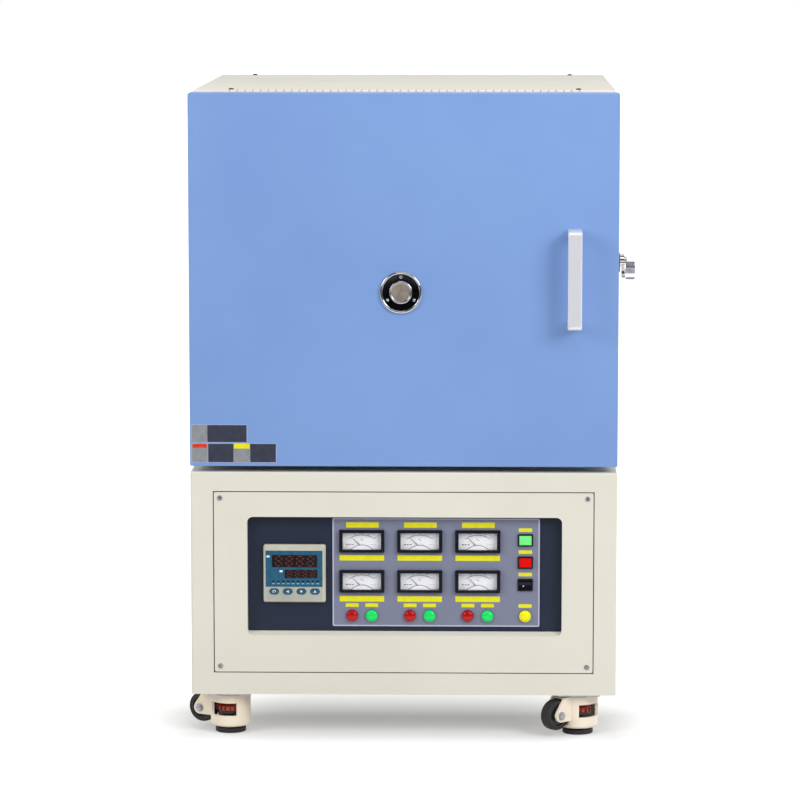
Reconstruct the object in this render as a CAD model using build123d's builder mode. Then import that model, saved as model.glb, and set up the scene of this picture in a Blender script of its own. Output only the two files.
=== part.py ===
from build123d import *
from math import asin, cos, radians, sin
import os

# A floor-standing muffle furnace, in millimetres: +Z is up and the door faces -Y.
# The origin is on the floor, under the middle of the furnace.

os.makedirs("parts", exist_ok=True)

# ---------------------------------------------------------------- driving sizes

# Body
WIDTH = 650.0  # door, casing and cabinet alike
DEPTH = 700.0  # from the door's front face to the cabinet's back
SHEET = 2.0  # steel sheet of casing, cabinet and panels
STANCE = 66.0  # cabinet floor above the ground
CABINET_HEIGHT = 344.0
CASING_HEIGHT = 562.0
CORNER_RADIUS = 4.0  # folded vertical corners

# Clearances
SEAT_GAP = 0.3  # between neighbours that don't touch
RUNNING_GAP = 0.05  # radial, a pin in its bore
INSET_GAP = 1.5  # groove around an inset panel

# Heating chamber
CHAMBER_WIDTH = 300.0
CHAMBER_HEIGHT = 280.0
CHAMBER_DEPTH = 400.0
LINING_WALL = 133.0
MOUTH_RIM = 20.0  # lining that shows around the mouth
HEARTH_THICKNESS = 15.0
HEARTH_MARGIN = 12.0
HEARTH_CORNER = 4.0
HEARTH_CHAMFER = 1.5
ELEMENT_RADIUS = 4.5
ELEMENT_PITCH = 40.0  # height between neighbouring runs
ELEMENT_BENDS = 5  # hairpin bends on each side wall
ELEMENT_POCKET = 12.0  # depth of the pocket in each side wall
ELEMENT_BEND = 19.5  # a hairpin is all but a half circle
ELEMENT_REACH = 300.0  # straight length of a run
THERMOCOUPLE_RADIUS = 5.0
THERMOCOUPLE_REACH = 60.0  # into the chamber
THERMOCOUPLE_DROP = 40.0  # below the chamber's roof
THERMOCOUPLE_TIP = 4.0  # rounding of its closed end
HEAD_RADIUS = 20.0
HEAD_LENGTH = 28.0
HEAD_ROUNDING = 3.0

# Door
DOOR_LIFT = 9.0  # above the cabinet
DOOR_HEIGHT = 566.0
DOOR_THICKNESS = 42.0
DOOR_STANDOFF = 18.0  # from the door's back to the casing
DOOR_EDGE_RADIUS = 2.5
DOOR_FACE_RADIUS = 1.5
DOOR_FRAME = 68.0  # width of the frame around the door's insulation
PAD_MARGIN = 12.0  # insulation pad inside the frame's opening
PAD_CORNER = 6.0
PLUG_DEPTH = 45.0  # reach into the chamber's mouth
PLUG_GAP = 9.0  # around the plug, at its root
PLUG_TAPER = 4.0  # degrees

# Hinges, hidden between door and casing
HINGE_HEIGHT = 90.0
HINGE_SPREAD = 380.0  # between the two hinges' middles
HINGE_INSET = 7.0  # axis, inside the casing's left face
HINGE_SETBACK = 8.0  # axis, behind the door's back
BARREL_RADIUS = 5.5
HINGE_PIN_RADIUS = 3.0
LEAF_THICKNESS = 3.5
LEAF_WIDTH = 38.0
LEAF_START = 7.0  # door leaf, from the axis
STEM_HALF = 4.0  # half the web between leaf and barrel

# Handle
HANDLE_X = 258.0
HANDLE_Z = 706.0
HANDLE_WIDTH = 21.0
HANDLE_HEIGHT = 150.0
HANDLE_REACH = 40.0
HANDLE_BAR = 8.0
HANDLE_FOOT = 11.0  # height of each foot on the door
HANDLE_BEND = 7.0
HANDLE_EDGE = 1.2

# Viewing port
PORT_X = -4.0
PORT_RADIUS = 32.0
PORT_RIM = 4.5  # height of the bezel's rim
PORT_RIM_WIDTH = 3.5
PORT_RIM_ROUNDING = 1.5
PORT_CROWN = 0.4  # the rim's highest point, outside its middle
PORT_DISH_RISE = 1.2  # the dish's low end, before the door's face
PORT_RING_HEIGHT = 3.5
PORT_RING_RADIUS = 16.5
PORT_RING_ROUNDING = 0.8
PORT_GLASS_RADIUS = 14.0
PORT_GLASS_STAND = 1.6  # before the door's face
PORT_GLASS_CHAMFER = 0.5

# Side latch
LATCH_Z = 728.0
LATCH_SETBACK = 12.0  # spindle behind the casing's front
LATCH_BOSS_RADIUS = 9.5
LATCH_BOSS_HEIGHT = 5.0
LATCH_SPINDLE_RADIUS = 4.0
LATCH_LEVER_THICKNESS = 5.0
LATCH_OPEN_ANGLE = 30.0  # lever below its latched place
LATCH_TAB_REACH = 16.0
STRIKE_SETBACK = 34.0  # strike pin behind the door's front
STRIKE_PIN_RADIUS = 3.0
STRIKE_GAP = 0.8  # between strike pin and hook
STRIKE_PLATE = (12.0, 30.0, 2.5)
STRIKE_CORNER = 2.0
STRIKE_HEAD = 1.0  # pin beyond the lever
SPINDLE_HEAD = 2.0
SPINDLE_HEAD_RIM = 2.0  # wider than the spindle
HOOK_NOSE = 6.0
HOOK_CORNER = 3.0
HOOK_TOP = 4.0  # lever above its own middle line
LATCH_TAB_WIDTH = 10.0
LATCH_TAB_TRIM = 2.0  # lower than the lever
LATCH_TAB_PLACE = 29.6  # from the spindle
LATCH_TAB_CHAMFER = 1.5

# Top cover
COVER_HEIGHT = 15.0
COVER_INSET = 3.5  # inside the casing's faces
COVER_SCREW_INSET_X = 57.0
COVER_SCREW_INSET_Y = 24.0
VENT_COUNT = 46
VENT_PITCH = 11.8
VENT_RADIUS = 3.0
VENT_DROP = 5.6  # hole centres below the cover's top
COVER_CHAMFER = 0.8
LOUVRE_LENGTH = 60.0
LOUVRE_HEIGHT = 5.0
LOUVRE_SPACE = 20.0  # between neighbours in a row
COVER_LOUVRES = 6

# Control panel
PANEL_WIDTH = 578.0
PANEL_HEIGHT = 278.0
PANEL_Z = 240.0
PANEL_LAP = 8.0  # seat behind the panel's edge
PANEL_SCREW_INSET = 9.0
WINDOW_WIDTH = 480.0
WINDOW_HEIGHT = 183.0
WINDOW_X = 1.5
WINDOW_Z = 249.5
WINDOW_RADIUS = 9.0
WINDOW_RECESS = 14.0
WINDOW_SILL = 4.5  # rise of the sloping sill
SCREW_RADIUS = 4.0
SCREW_HEAD = 2.2
SCREW_TAPER = 25.0  # degrees

# Instruments
PLATE_WIDTH = 317.0
PLATE_HEIGHT = 168.0
PLATE_INSET = 33.5  # from the window's right edge
PLATE_Z = 254.0
PLATE_THICKNESS = 1.5
METER_WIDTH = 69.0
METER_HEIGHT = 34.6
METER_RIM = 5.2  # frame around the dial
METER_STAND = 6.5  # front of the frame before the plate
METER_BODY = 22.0  # behind the plate
METER_PITCH_X = 88.5
METER_PITCH_Z = 62.0
METER_SHIFT = -24.8  # middle column, from the plate's middle
METER_Z = 271.5
METER_GLASS = 1.0
METER_DIAL = 1.0
METER_DIAL_DEPTH = 8.0  # dial face behind the frame's front
METER_CORNER = 1.5
METER_CHAMFER = 1.0
DIAL_EXTRA = 1.6  # the frame is narrower above and below
GLASS_SETBACK = 0.6  # window, behind the frame's front
NEEDLE_LENGTH = 20.5
NEEDLE_WIDTH = 1.2
NEEDLE_REST_ANGLE = 45.0  # left of upright
NEEDLE_PIVOT_RADIUS = 1.0
NEEDLE_HUB_RADIUS = 2.6
NEEDLE_ROOT = 2.0  # the blade starts inside the hub, at this radius
NEEDLE_TIP_WIDTH = 0.4
NEEDLE_THICKNESS = 0.6
NEEDLE_FLOAT = 1.2  # needle before the dial
HUB_THICKNESS = 1.6
HUB_MARGIN = 0.6  # hub to the dial's lower edge
PIVOT_STAND = 0.4  # pivot beyond the hub
LAMP_RADIUS = 9.2
LAMP_LENS_RADIUS = 7.4
LAMP_STAND = 2.6
LAMP_CHAMFER = 0.7
LENS_RIM = 2.0  # straight edge of a lens, sunk in its bezel
LAMP_DOME = 4.2
LAMP_BODY_RADIUS = 7.0
LAMP_BODY = 16.0
LAMP_SPREAD = 30.0
LAMP_Z = 187.0
SWITCH_SHIFT = 136.3  # column, from the plate's middle
SWITCH_Z = 270.0
SWITCH_PITCH = 34.5
SWITCH_WIDTH = 23.4
SWITCH_HEIGHT = 18.8
SWITCH_WALL = 2.4
SWITCH_STAND = 3.0
SWITCH_BODY = 18.0
SWITCH_CORNER = 1.5
SWITCH_CHAMFER = 0.8
SOCKET_DEPTH = 14.0
SOCKET_CLEARANCE = 1.0  # left behind a pressed cap
BUTTON_STAND = 3.5  # cap before its housing
BUTTON_TRAVEL = 3.0
BUTTON_CHAMFER = 0.9
ROCKER_RADIUS = 7.0
ROCKER_TILT = 9.0
ROCKER_SETBACK = 3.0  # pivot, behind the housing's front
ROCKER_NOTCH = 2.6
ROCKER_HORN = 4.8

# Temperature controller
CONTROLLER_WIDTH = 95.0
CONTROLLER_HEIGHT = 89.0
CONTROLLER_INSET = 24.4  # from the window's left edge
CONTROLLER_Z = 252.5
CONTROLLER_STAND = 8.0
CONTROLLER_BODY_MARGIN = 3.5
CONTROLLER_BODY = 60.0
DISPLAY_DEPTH = 1.0
PV_SIZE = (69.0, 19.0)
PV_OFFSET = (0.0, 19.3)
SV_SIZE = (50.0, 13.0)
SV_OFFSET = (10.0, -0.5)
KEY_WIDTH = 14.5
KEY_HEIGHT = 9.0
KEY_PITCH = 20.8
KEY_DROP = 27.6
KEY_STAND = 1.2
KEY_DEPTH = 4.0
KEY_NAMES = ("mode_key", "shift_key", "down_key", "up_key")

# Levelling casters
CASTER_X = 268.0
CASTER_Y = 305.0
CASTER_YAWS = {
    "front_left": 152.0,
    "front_right": 222.0,
    "rear_left": 163.0,
    "rear_right": 24.0,
}
TRAIL = 48.0  # from swivel axis to wheel axle
WHEEL_RADIUS = 23.5
WHEEL_WIDTH = 18.0
WHEEL_LIFT = 10.0  # wheel above the ground while the feet carry
AXLE_RADIUS = 3.5
HOUSING_RADIUS = 31.0
HOUSING_WALL = 4.5
HOUSING_BOTTOM = 14.0
HOUSING_CROWN = 9.5  # solid top of the housing
CASTER_PLATE = 4.0
CASTER_PLATE_SIZE = 68.0
CASTER_PLATE_CORNER = 6.0
COLLAR_RADIUS = 12.0
COLLAR_BORE = 8.0
COLLAR_DEPTH = 6.0
FORK_ARM = 4.5
FORK_GAP = 1.2  # wheel to arm
FORK_LOBE_RADIUS = 10.0
FORK_ROUNDING = 4.0  # corners of a fork arm
FORK_SHOULDER = 1.2  # arm below the housing's top
FORK_ROOT = 15.0  # arm's inner corners, from the swivel axis
FORK_FOOT_DROP = 6.0  # arm's lower inner corner, below the axle
FORK_NOSE = 9.0  # arm's upper outer corner, inside the axle
HOUSING_CHAMFER = 2.0
WHEEL_ROOM = 2.0  # radial, between wheel and housing
WHEEL_ROUNDING = 3.0
AXLE_HEAD = 0.8
WINDOW_ARC = (50.0, 140.0)  # degrees from the wheel's side
THUMBWHEEL_WINDOW = (28.0, 48.0)  # heights of the housing's windows
FOOT_RADIUS = 23.5
FOOT_HEIGHT = 8.0
FOOT_STEM_RADIUS = 5.0
FOOT_CHAMFER = 2.0
STEM_SHORT = 1.0  # stem below the collar
FOOT_TRAVEL = 10.0
THUMBWHEEL_RADIUS = 23.8
THUMBWHEEL_HEIGHT = 14.0
THUMBWHEEL_GAP = 0.7  # to the housing's roof, with the foot drawn in
KNURL_COUNT = 20
KNURL_RADIUS = 1.2

# Mains inlet and transformer
GLAND_X = -240.0
GLAND_Z = 120.0
GLAND_BORE = 6.0
GLAND_THREAD = 10.0
GLAND_NUT = 15.0
GLAND_FLAT_COUNT = 6
GLAND_CHAMFER = 1.5
GLAND_REACH = 30.0
GLAND_INSIDE = 12.0
CORE_SIZE = (120.0, 60.0, 110.0)
CORE_LIMB = 24.0
CORE_X = 120.0
CORE_Y = 150.0
COIL_BULGE = 18.0
COIL_CORNER = 8.0

# ---------------------------------------------------------------- derived places

FRONT = -DEPTH / 2
BACK = DEPTH / 2
SIDE = WIDTH / 2
CABINET_TOP = STANCE + CABINET_HEIGHT
CABINET_Z = STANCE + CABINET_HEIGHT / 2
CASING_TOP = CABINET_TOP + CASING_HEIGHT
COVER_TOP = CASING_TOP + COVER_HEIGHT
DOOR_BOTTOM = CABINET_TOP + DOOR_LIFT
DOOR_Z = DOOR_BOTTOM + DOOR_HEIGHT / 2
DOOR_BACK = FRONT + DOOR_THICKNESS
CASING_FRONT = DOOR_BACK + DOOR_STANDOFF
CASING_DEPTH = BACK - CASING_FRONT
CASING_Y = (BACK + CASING_FRONT) / 2
LINING_FRONT = CASING_FRONT + SHEET
CHAMBER_FLOOR = CABINET_TOP + SHEET + LINING_WALL
CHAMBER_Z = CHAMBER_FLOOR + CHAMBER_HEIGHT / 2
CHAMBER_ROOF = CHAMBER_FLOOR + CHAMBER_HEIGHT
CHAMBER_BACK = LINING_FRONT + CHAMBER_DEPTH
LINING_BACK = CHAMBER_BACK + LINING_WALL
LINING_WIDTH = CHAMBER_WIDTH + 2 * LINING_WALL
LINING_HEIGHT = CHAMBER_HEIGHT + 2 * LINING_WALL
FASCIA_FACE = FRONT + WINDOW_RECESS
PLATE_FACE = FASCIA_FACE - PLATE_THICKNESS
PLATE_X = WINDOW_X + WINDOW_WIDTH / 2 - PLATE_INSET - PLATE_WIDTH / 2
METER_X = PLATE_X + METER_SHIFT
SWITCH_X = PLATE_X + SWITCH_SHIFT
CONTROLLER_X = WINDOW_X - WINDOW_WIDTH / 2 + CONTROLLER_INSET + CONTROLLER_WIDTH / 2
HINGE_X = -SIDE + HINGE_INSET
HINGE_Y = DOOR_BACK + HINGE_SETBACK


def across(y):
    """Plane across the furnace at depth y, seen from the front: its x is X and its y is Z."""
    return Plane.XZ.offset(-y)


def side_on(x):
    """Plane along the furnace at x, seen from the right: its x is Y and its y is Z."""
    return Plane.YZ.offset(x)


def save(part, name):
    """Names a finished piece and writes it to its own file."""
    part.label = name
    export_step(part, f"parts/{name}.step")


# ---------------------------------------------------------------- furnace casing

# The closed steel casing has the chamber's mouth in front and a vent under the cover.
MOUTH_WIDTH = CHAMBER_WIDTH + 2 * MOUTH_RIM
MOUTH_HEIGHT = CHAMBER_HEIGHT + 2 * MOUTH_RIM
WIRE_DUCT = (160.0, 40.0)
WIRE_DUCT_SETBACK = 60.0  # before the cabinet's back
WIRE_DUCT_Y = BACK - WIRE_DUCT_SETBACK
ROOF_VENT_MARGIN = 80.0  # lining covered on each side of the vent
ROOF_VENT_DEPTH = 300.0
ROOF_VENT = (LINING_WIDTH - 2 * ROOF_VENT_MARGIN, ROOF_VENT_DEPTH)

with BuildPart() as casing:
    with BuildSketch(Plane.XY.offset(CABINET_TOP)):
        with Locations((0, CASING_Y)):
            Rectangle(WIDTH, CASING_DEPTH)
    extrude(amount=CASING_HEIGHT)
    fillet(casing.edges().filter_by(Axis.Z), CORNER_RADIUS)
    with BuildSketch(Plane.XY.offset(CABINET_TOP + SHEET)):
        with Locations((0, CASING_Y)):
            RectangleRounded(WIDTH - 2 * SHEET, CASING_DEPTH - 2 * SHEET, CORNER_RADIUS - SHEET)
    extrude(amount=CASING_HEIGHT - 2 * SHEET, mode=Mode.SUBTRACT)
    with BuildSketch(across(CASING_FRONT)):
        with Locations((0, CHAMBER_Z)):
            Rectangle(MOUTH_WIDTH, MOUTH_HEIGHT)
    extrude(amount=-SHEET, mode=Mode.SUBTRACT)
    with BuildSketch(Plane.XY.offset(CASING_TOP)):
        with Locations((0, CASING_Y)):
            Rectangle(*ROOF_VENT)
    extrude(amount=-SHEET, mode=Mode.SUBTRACT)
    with BuildSketch(Plane.XY.offset(CABINET_TOP)):
        with Locations((0, WIRE_DUCT_Y)):
            Rectangle(*WIRE_DUCT)
    extrude(amount=SHEET, mode=Mode.SUBTRACT)
save(casing.part, "furnace_casing")

# ---------------------------------------------------------------- chamber lining

# Hairpin heating elements lie in a shallow pocket in each side wall.
ELEMENT_X = CHAMBER_WIDTH / 2 + ELEMENT_POCKET / 2
ELEMENT_SPAN = ELEMENT_BENDS * ELEMENT_PITCH
ELEMENT_BOTTOM = CHAMBER_Z - ELEMENT_SPAN / 2
ELEMENT_TOP = CHAMBER_Z + ELEMENT_SPAN / 2
ELEMENT_REAR = CHAMBER_BACK - ELEMENT_PITCH
ELEMENT_FRONT = ELEMENT_REAR - ELEMENT_REACH
ELEMENT_END = LINING_BACK + 25.0
POCKET_MARGIN = 12.0
POCKET_HEIGHT = ELEMENT_SPAN + 2 * (ELEMENT_RADIUS + POCKET_MARGIN)
POCKET_FRONT = ELEMENT_FRONT - ELEMENT_PITCH / 2 - ELEMENT_RADIUS - POCKET_MARGIN
THERMOCOUPLE_Z = CHAMBER_ROOF - THERMOCOUPLE_DROP

with BuildPart() as lining:
    with BuildSketch(across(LINING_FRONT)):
        with Locations((0, CHAMBER_Z)):
            Rectangle(LINING_WIDTH, LINING_HEIGHT)
    extrude(amount=-(LINING_BACK - LINING_FRONT))
    with BuildSketch(across(CASING_FRONT)):
        with Locations((0, CHAMBER_Z)):
            Rectangle(MOUTH_WIDTH, MOUTH_HEIGHT)
    extrude(amount=-SHEET)
    with BuildSketch(across(CASING_FRONT)):
        with Locations((0, CHAMBER_Z)):
            Rectangle(CHAMBER_WIDTH, CHAMBER_HEIGHT)
    extrude(amount=-(CHAMBER_BACK - CASING_FRONT), mode=Mode.SUBTRACT)
    with BuildSketch(across(POCKET_FRONT)):
        with Locations((0, CHAMBER_Z)):
            Rectangle(CHAMBER_WIDTH + 2 * ELEMENT_POCKET, POCKET_HEIGHT)
    extrude(amount=-(CHAMBER_BACK - POCKET_FRONT), mode=Mode.SUBTRACT)
    with BuildSketch(across(LINING_BACK)):
        with Locations((0, CHAMBER_Z)):
            with GridLocations(2 * ELEMENT_X, ELEMENT_SPAN, 2, 2):
                Circle(ELEMENT_RADIUS + SEAT_GAP)
        with Locations((0, THERMOCOUPLE_Z)):
            Circle(THERMOCOUPLE_RADIUS + SEAT_GAP)
    extrude(amount=LINING_WALL, mode=Mode.SUBTRACT)
save(lining.part, "chamber_lining")

with BuildPart() as hearth:
    HEARTH_WIDTH = CHAMBER_WIDTH - 2 * HEARTH_MARGIN
    HEARTH_DEPTH = CHAMBER_DEPTH - PLUG_DEPTH - DOOR_STANDOFF - 2 * HEARTH_MARGIN
    HEARTH_Y = CHAMBER_BACK - HEARTH_MARGIN - HEARTH_DEPTH / 2
    with BuildSketch(Plane.XY.offset(CHAMBER_FLOOR)):
        with Locations((0, HEARTH_Y)):
            RectangleRounded(HEARTH_WIDTH, HEARTH_DEPTH, HEARTH_CORNER)
    extrude(amount=HEARTH_THICKNESS)
    chamfer(hearth.faces().sort_by(Axis.Z)[-1].edges(), HEARTH_CHAMFER)
save(hearth.part, "hearth_plate")


def element_route(x):
    """Corner points and bend radii of one side wall's element, from terminal to terminal."""
    points = [(x, ELEMENT_END, ELEMENT_TOP)]
    for row in range(ELEMENT_BENDS):
        turn_y = ELEMENT_FRONT if row % 2 == 0 else ELEMENT_REAR
        points.append((x, turn_y, ELEMENT_TOP - row * ELEMENT_PITCH))
        points.append((x, turn_y, ELEMENT_TOP - (row + 1) * ELEMENT_PITCH))
    points.append((x, ELEMENT_END, ELEMENT_BOTTOM))
    return points


with BuildPart() as elements:
    for wall_side in (-1, 1):
        with BuildLine() as run:
            FilletPolyline(*element_route(wall_side * ELEMENT_X), radius=ELEMENT_BEND)
        with BuildSketch(Plane(run.line @ 0, z_dir=run.line % 0)):
            Circle(ELEMENT_RADIUS)
        sweep()
save(elements.part, "heating_elements")

with BuildPart() as thermocouple:
    with BuildSketch(across(CHAMBER_BACK - THERMOCOUPLE_REACH)):
        with Locations((0, THERMOCOUPLE_Z)):
            Circle(THERMOCOUPLE_RADIUS)
    extrude(amount=-(THERMOCOUPLE_REACH + LINING_WALL))
    fillet(thermocouple.faces().sort_by(Axis.Y)[0].edges(), THERMOCOUPLE_TIP)
    with BuildSketch(across(LINING_BACK)):
        with Locations((0, THERMOCOUPLE_Z)):
            Circle(HEAD_RADIUS)
    extrude(amount=-HEAD_LENGTH)
    fillet(thermocouple.faces().sort_by(Axis.Y)[-1].edges(), HEAD_ROUNDING)
save(thermocouple.part, "thermocouple")

# ---------------------------------------------------------------- top cover

COVER_WIDTH = WIDTH - 2 * COVER_INSET
COVER_DEPTH = CASING_DEPTH - COVER_INSET
COVER_FRONT = CASING_FRONT
COVER_Y = COVER_FRONT + COVER_DEPTH / 2
COVER_SCREW_PITCH_X = COVER_WIDTH - 2 * COVER_SCREW_INSET_X
COVER_SCREW_PITCH_Y = COVER_DEPTH - 2 * COVER_SCREW_INSET_Y
COVER_LUG = 14.0  # block under each screw
SCREW_SHANK = 2.0

with BuildPart() as cover:
    with BuildSketch(Plane.XY.offset(CASING_TOP)):
        with Locations((0, COVER_Y)):
            Rectangle(COVER_WIDTH, COVER_DEPTH)
    extrude(amount=COVER_HEIGHT)
    fillet(cover.edges().filter_by(Axis.Z), CORNER_RADIUS)
    chamfer(cover.faces().sort_by(Axis.Z)[-1].edges(), COVER_CHAMFER)
    with BuildSketch(Plane.XY.offset(CASING_TOP)):
        with Locations((0, COVER_Y)):
            Rectangle(COVER_WIDTH - 2 * SHEET, COVER_DEPTH - 2 * SHEET)
    extrude(amount=COVER_HEIGHT - SHEET, mode=Mode.SUBTRACT)
    with BuildSketch(across(COVER_FRONT)):
        with Locations((0, COVER_TOP - VENT_DROP)):
            with GridLocations(VENT_PITCH, 1, VENT_COUNT, 1):
                Circle(VENT_RADIUS)
    extrude(amount=-SHEET, mode=Mode.SUBTRACT)
    with BuildSketch(across(COVER_FRONT + COVER_DEPTH)):
        with Locations((0, COVER_TOP - COVER_HEIGHT / 2)):
            with GridLocations(LOUVRE_LENGTH + LOUVRE_SPACE, 1, COVER_LOUVRES, 1):
                SlotOverall(LOUVRE_LENGTH, LOUVRE_HEIGHT)
    extrude(amount=SHEET, mode=Mode.SUBTRACT)
    with BuildSketch(Plane.XY.offset(CASING_TOP)):
        with Locations((0, COVER_Y)):
            with GridLocations(COVER_SCREW_PITCH_X, COVER_SCREW_PITCH_Y, 2, 2):
                Rectangle(COVER_LUG, COVER_LUG)
                Circle(SCREW_SHANK, mode=Mode.SUBTRACT)
    extrude(amount=COVER_HEIGHT - SHEET)
    with BuildSketch(Plane.XY.offset(COVER_TOP)):
        with Locations((0, COVER_Y)):
            with GridLocations(COVER_SCREW_PITCH_X, COVER_SCREW_PITCH_Y, 2, 2):
                Circle(SCREW_SHANK)
    extrude(amount=-COVER_HEIGHT, mode=Mode.SUBTRACT)
save(cover.part, "top_cover")

# ---------------------------------------------------------------- control cabinet

SEAT_WIDTH = 12.0  # flange behind an inset panel
REAR_MARGIN = 24.0
REAR_WIDTH = WIDTH - 2 * REAR_MARGIN
REAR_HEIGHT = CABINET_HEIGHT - 2 * REAR_MARGIN
REAR_SCREW_PITCH_X = REAR_WIDTH - 2 * PANEL_SCREW_INSET
REAR_SCREW_PITCH_Z = REAR_HEIGHT - 2 * PANEL_SCREW_INSET

with BuildPart() as cabinet:
    with BuildSketch(Plane.XY.offset(STANCE)):
        Rectangle(WIDTH, DEPTH)
    extrude(amount=CABINET_HEIGHT)
    fillet(cabinet.edges().filter_by(Axis.Z), CORNER_RADIUS)
    fillet(cabinet.faces().sort_by(Axis.Z)[-1].edges(), SHEET)
    with BuildSketch(Plane.XY.offset(STANCE + SHEET)):
        RectangleRounded(WIDTH - 2 * SHEET, DEPTH - 2 * SHEET, CORNER_RADIUS - SHEET)
    extrude(amount=CABINET_HEIGHT - 2 * SHEET, mode=Mode.SUBTRACT)
    with BuildSketch(across(FRONT + SHEET)):
        with Locations((0, PANEL_Z)):
            Rectangle(PANEL_WIDTH + 2 * SEAT_WIDTH, PANEL_HEIGHT + 2 * SEAT_WIDTH)
            Rectangle(PANEL_WIDTH - 2 * PANEL_LAP, PANEL_HEIGHT - 2 * PANEL_LAP, mode=Mode.SUBTRACT)
    extrude(amount=-SHEET)
    with BuildSketch(across(FRONT)):
        with Locations((0, PANEL_Z)):
            Rectangle(PANEL_WIDTH + 2 * INSET_GAP, PANEL_HEIGHT + 2 * INSET_GAP)
    extrude(amount=-SHEET, mode=Mode.SUBTRACT)
    with BuildSketch(across(BACK - SHEET)):
        with Locations((0, CABINET_Z)):
            Rectangle(REAR_WIDTH + 2 * SEAT_WIDTH, REAR_HEIGHT + 2 * SEAT_WIDTH)
            Rectangle(REAR_WIDTH - 2 * PANEL_LAP, REAR_HEIGHT - 2 * PANEL_LAP, mode=Mode.SUBTRACT)
    extrude(amount=SHEET)
    with BuildSketch(across(BACK)):
        with Locations((0, CABINET_Z)):
            Rectangle(REAR_WIDTH + 2 * INSET_GAP, REAR_HEIGHT + 2 * INSET_GAP)
    extrude(amount=SHEET, mode=Mode.SUBTRACT)
    with BuildSketch(Plane.XY.offset(CABINET_TOP)):
        with Locations((0, WIRE_DUCT_Y)):
            Rectangle(*WIRE_DUCT)
    extrude(amount=-SHEET, mode=Mode.SUBTRACT)
save(cabinet.part, "cabinet_shell")

LOUVRE_COLUMNS = 4
LOUVRE_ROWS = 5
LOUVRE_PITCH_X = 90.0
LOUVRE_PITCH_Z = 20.0
LOUVRE_RISE = 40.0  # field of louvres above the panel's middle
LOUVRE_Z = CABINET_Z + LOUVRE_RISE

with BuildPart() as rear_panel:
    with BuildSketch(across(BACK)):
        with Locations((0, CABINET_Z)):
            RectangleRounded(REAR_WIDTH, REAR_HEIGHT, 3.0)
        with Locations((0, LOUVRE_Z)):
            with GridLocations(LOUVRE_PITCH_X, LOUVRE_PITCH_Z, LOUVRE_COLUMNS, LOUVRE_ROWS):
                SlotOverall(LOUVRE_LENGTH, LOUVRE_HEIGHT, mode=Mode.SUBTRACT)
        with Locations((GLAND_X, GLAND_Z)):
            Circle(GLAND_THREAD, mode=Mode.SUBTRACT)
        with Locations((0, CABINET_Z)):
            with GridLocations(REAR_SCREW_PITCH_X, REAR_SCREW_PITCH_Z, 2, 2):
                Circle(SCREW_SHANK, mode=Mode.SUBTRACT)
    extrude(amount=SHEET)
save(rear_panel.part, "cabinet_rear_panel")

PANEL_SCREW_PITCH_X = PANEL_WIDTH - 2 * PANEL_SCREW_INSET
PANEL_SCREW_PITCH_Z = PANEL_HEIGHT - 2 * PANEL_SCREW_INSET
SILL_BOTTOM = WINDOW_Z - WINDOW_HEIGHT / 2

with BuildPart() as control_panel:
    with BuildSketch(across(FRONT)):
        with Locations((0, PANEL_Z)):
            RectangleRounded(PANEL_WIDTH, PANEL_HEIGHT, 3.0)
    extrude(amount=-SHEET)
    with BuildSketch(across(FRONT)):
        with Locations((WINDOW_X, WINDOW_Z)):
            RectangleRounded(
                WINDOW_WIDTH + 2 * SHEET, WINDOW_HEIGHT + 2 * SHEET, WINDOW_RADIUS + SHEET
            )
    extrude(amount=-WINDOW_RECESS)
    with BuildSketch(across(FRONT)):
        with Locations((WINDOW_X, WINDOW_Z)):
            RectangleRounded(WINDOW_WIDTH, WINDOW_HEIGHT, WINDOW_RADIUS)
        with Locations((0, PANEL_Z)):
            with GridLocations(PANEL_SCREW_PITCH_X, PANEL_SCREW_PITCH_Z, 2, 2):
                Circle(SCREW_SHANK)
    extrude(amount=-WINDOW_RECESS, mode=Mode.SUBTRACT)
    with BuildSketch(side_on(WINDOW_X - WINDOW_WIDTH / 2)):
        with BuildLine():
            Polyline(
                (FRONT, SILL_BOTTOM - SHEET / 2),
                (FRONT, SILL_BOTTOM),
                (FASCIA_FACE, SILL_BOTTOM + WINDOW_SILL),
                (FASCIA_FACE, SILL_BOTTOM - SHEET / 2),
                close=True,
            )
        make_face()
    extrude(amount=WINDOW_WIDTH)
save(control_panel.part, "control_panel")

# ---------------------------------------------------------------- fascia and meter plate

METER_BODY_WIDTH = METER_WIDTH - 6.0
METER_BODY_HEIGHT = METER_HEIGHT - 5.0
SWITCH_BODY_WIDTH = SWITCH_WIDTH - 2.4
SWITCH_BODY_HEIGHT = SWITCH_HEIGHT - 2.4
CONTROLLER_BODY_WIDTH = CONTROLLER_WIDTH - 2 * CONTROLLER_BODY_MARGIN
CONTROLLER_BODY_HEIGHT = CONTROLLER_HEIGHT - 2 * CONTROLLER_BODY_MARGIN
FASCIA_MARGIN = 10.0

METER_PLACES = [
    (METER_X + column * METER_PITCH_X, METER_Z + row * METER_PITCH_Z / 2)
    for row in (1, -1)
    for column in (-1, 0, 1)
]
RED_LAMPS = [(METER_X + column * METER_PITCH_X - LAMP_SPREAD / 2, LAMP_Z) for column in (-1, 0, 1)]
GREEN_LAMPS = [(METER_X + column * METER_PITCH_X + LAMP_SPREAD / 2, LAMP_Z) for column in (-1, 0, 1)]
YELLOW_LAMP = [(SWITCH_X, LAMP_Z)]
LAMP_PLACES = RED_LAMPS + GREEN_LAMPS + YELLOW_LAMP
START_PLACE = (SWITCH_X, SWITCH_Z + SWITCH_PITCH)
STOP_PLACE = (SWITCH_X, SWITCH_Z)
ROCKER_PLACE = (SWITCH_X, SWITCH_Z - SWITCH_PITCH)


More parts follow.
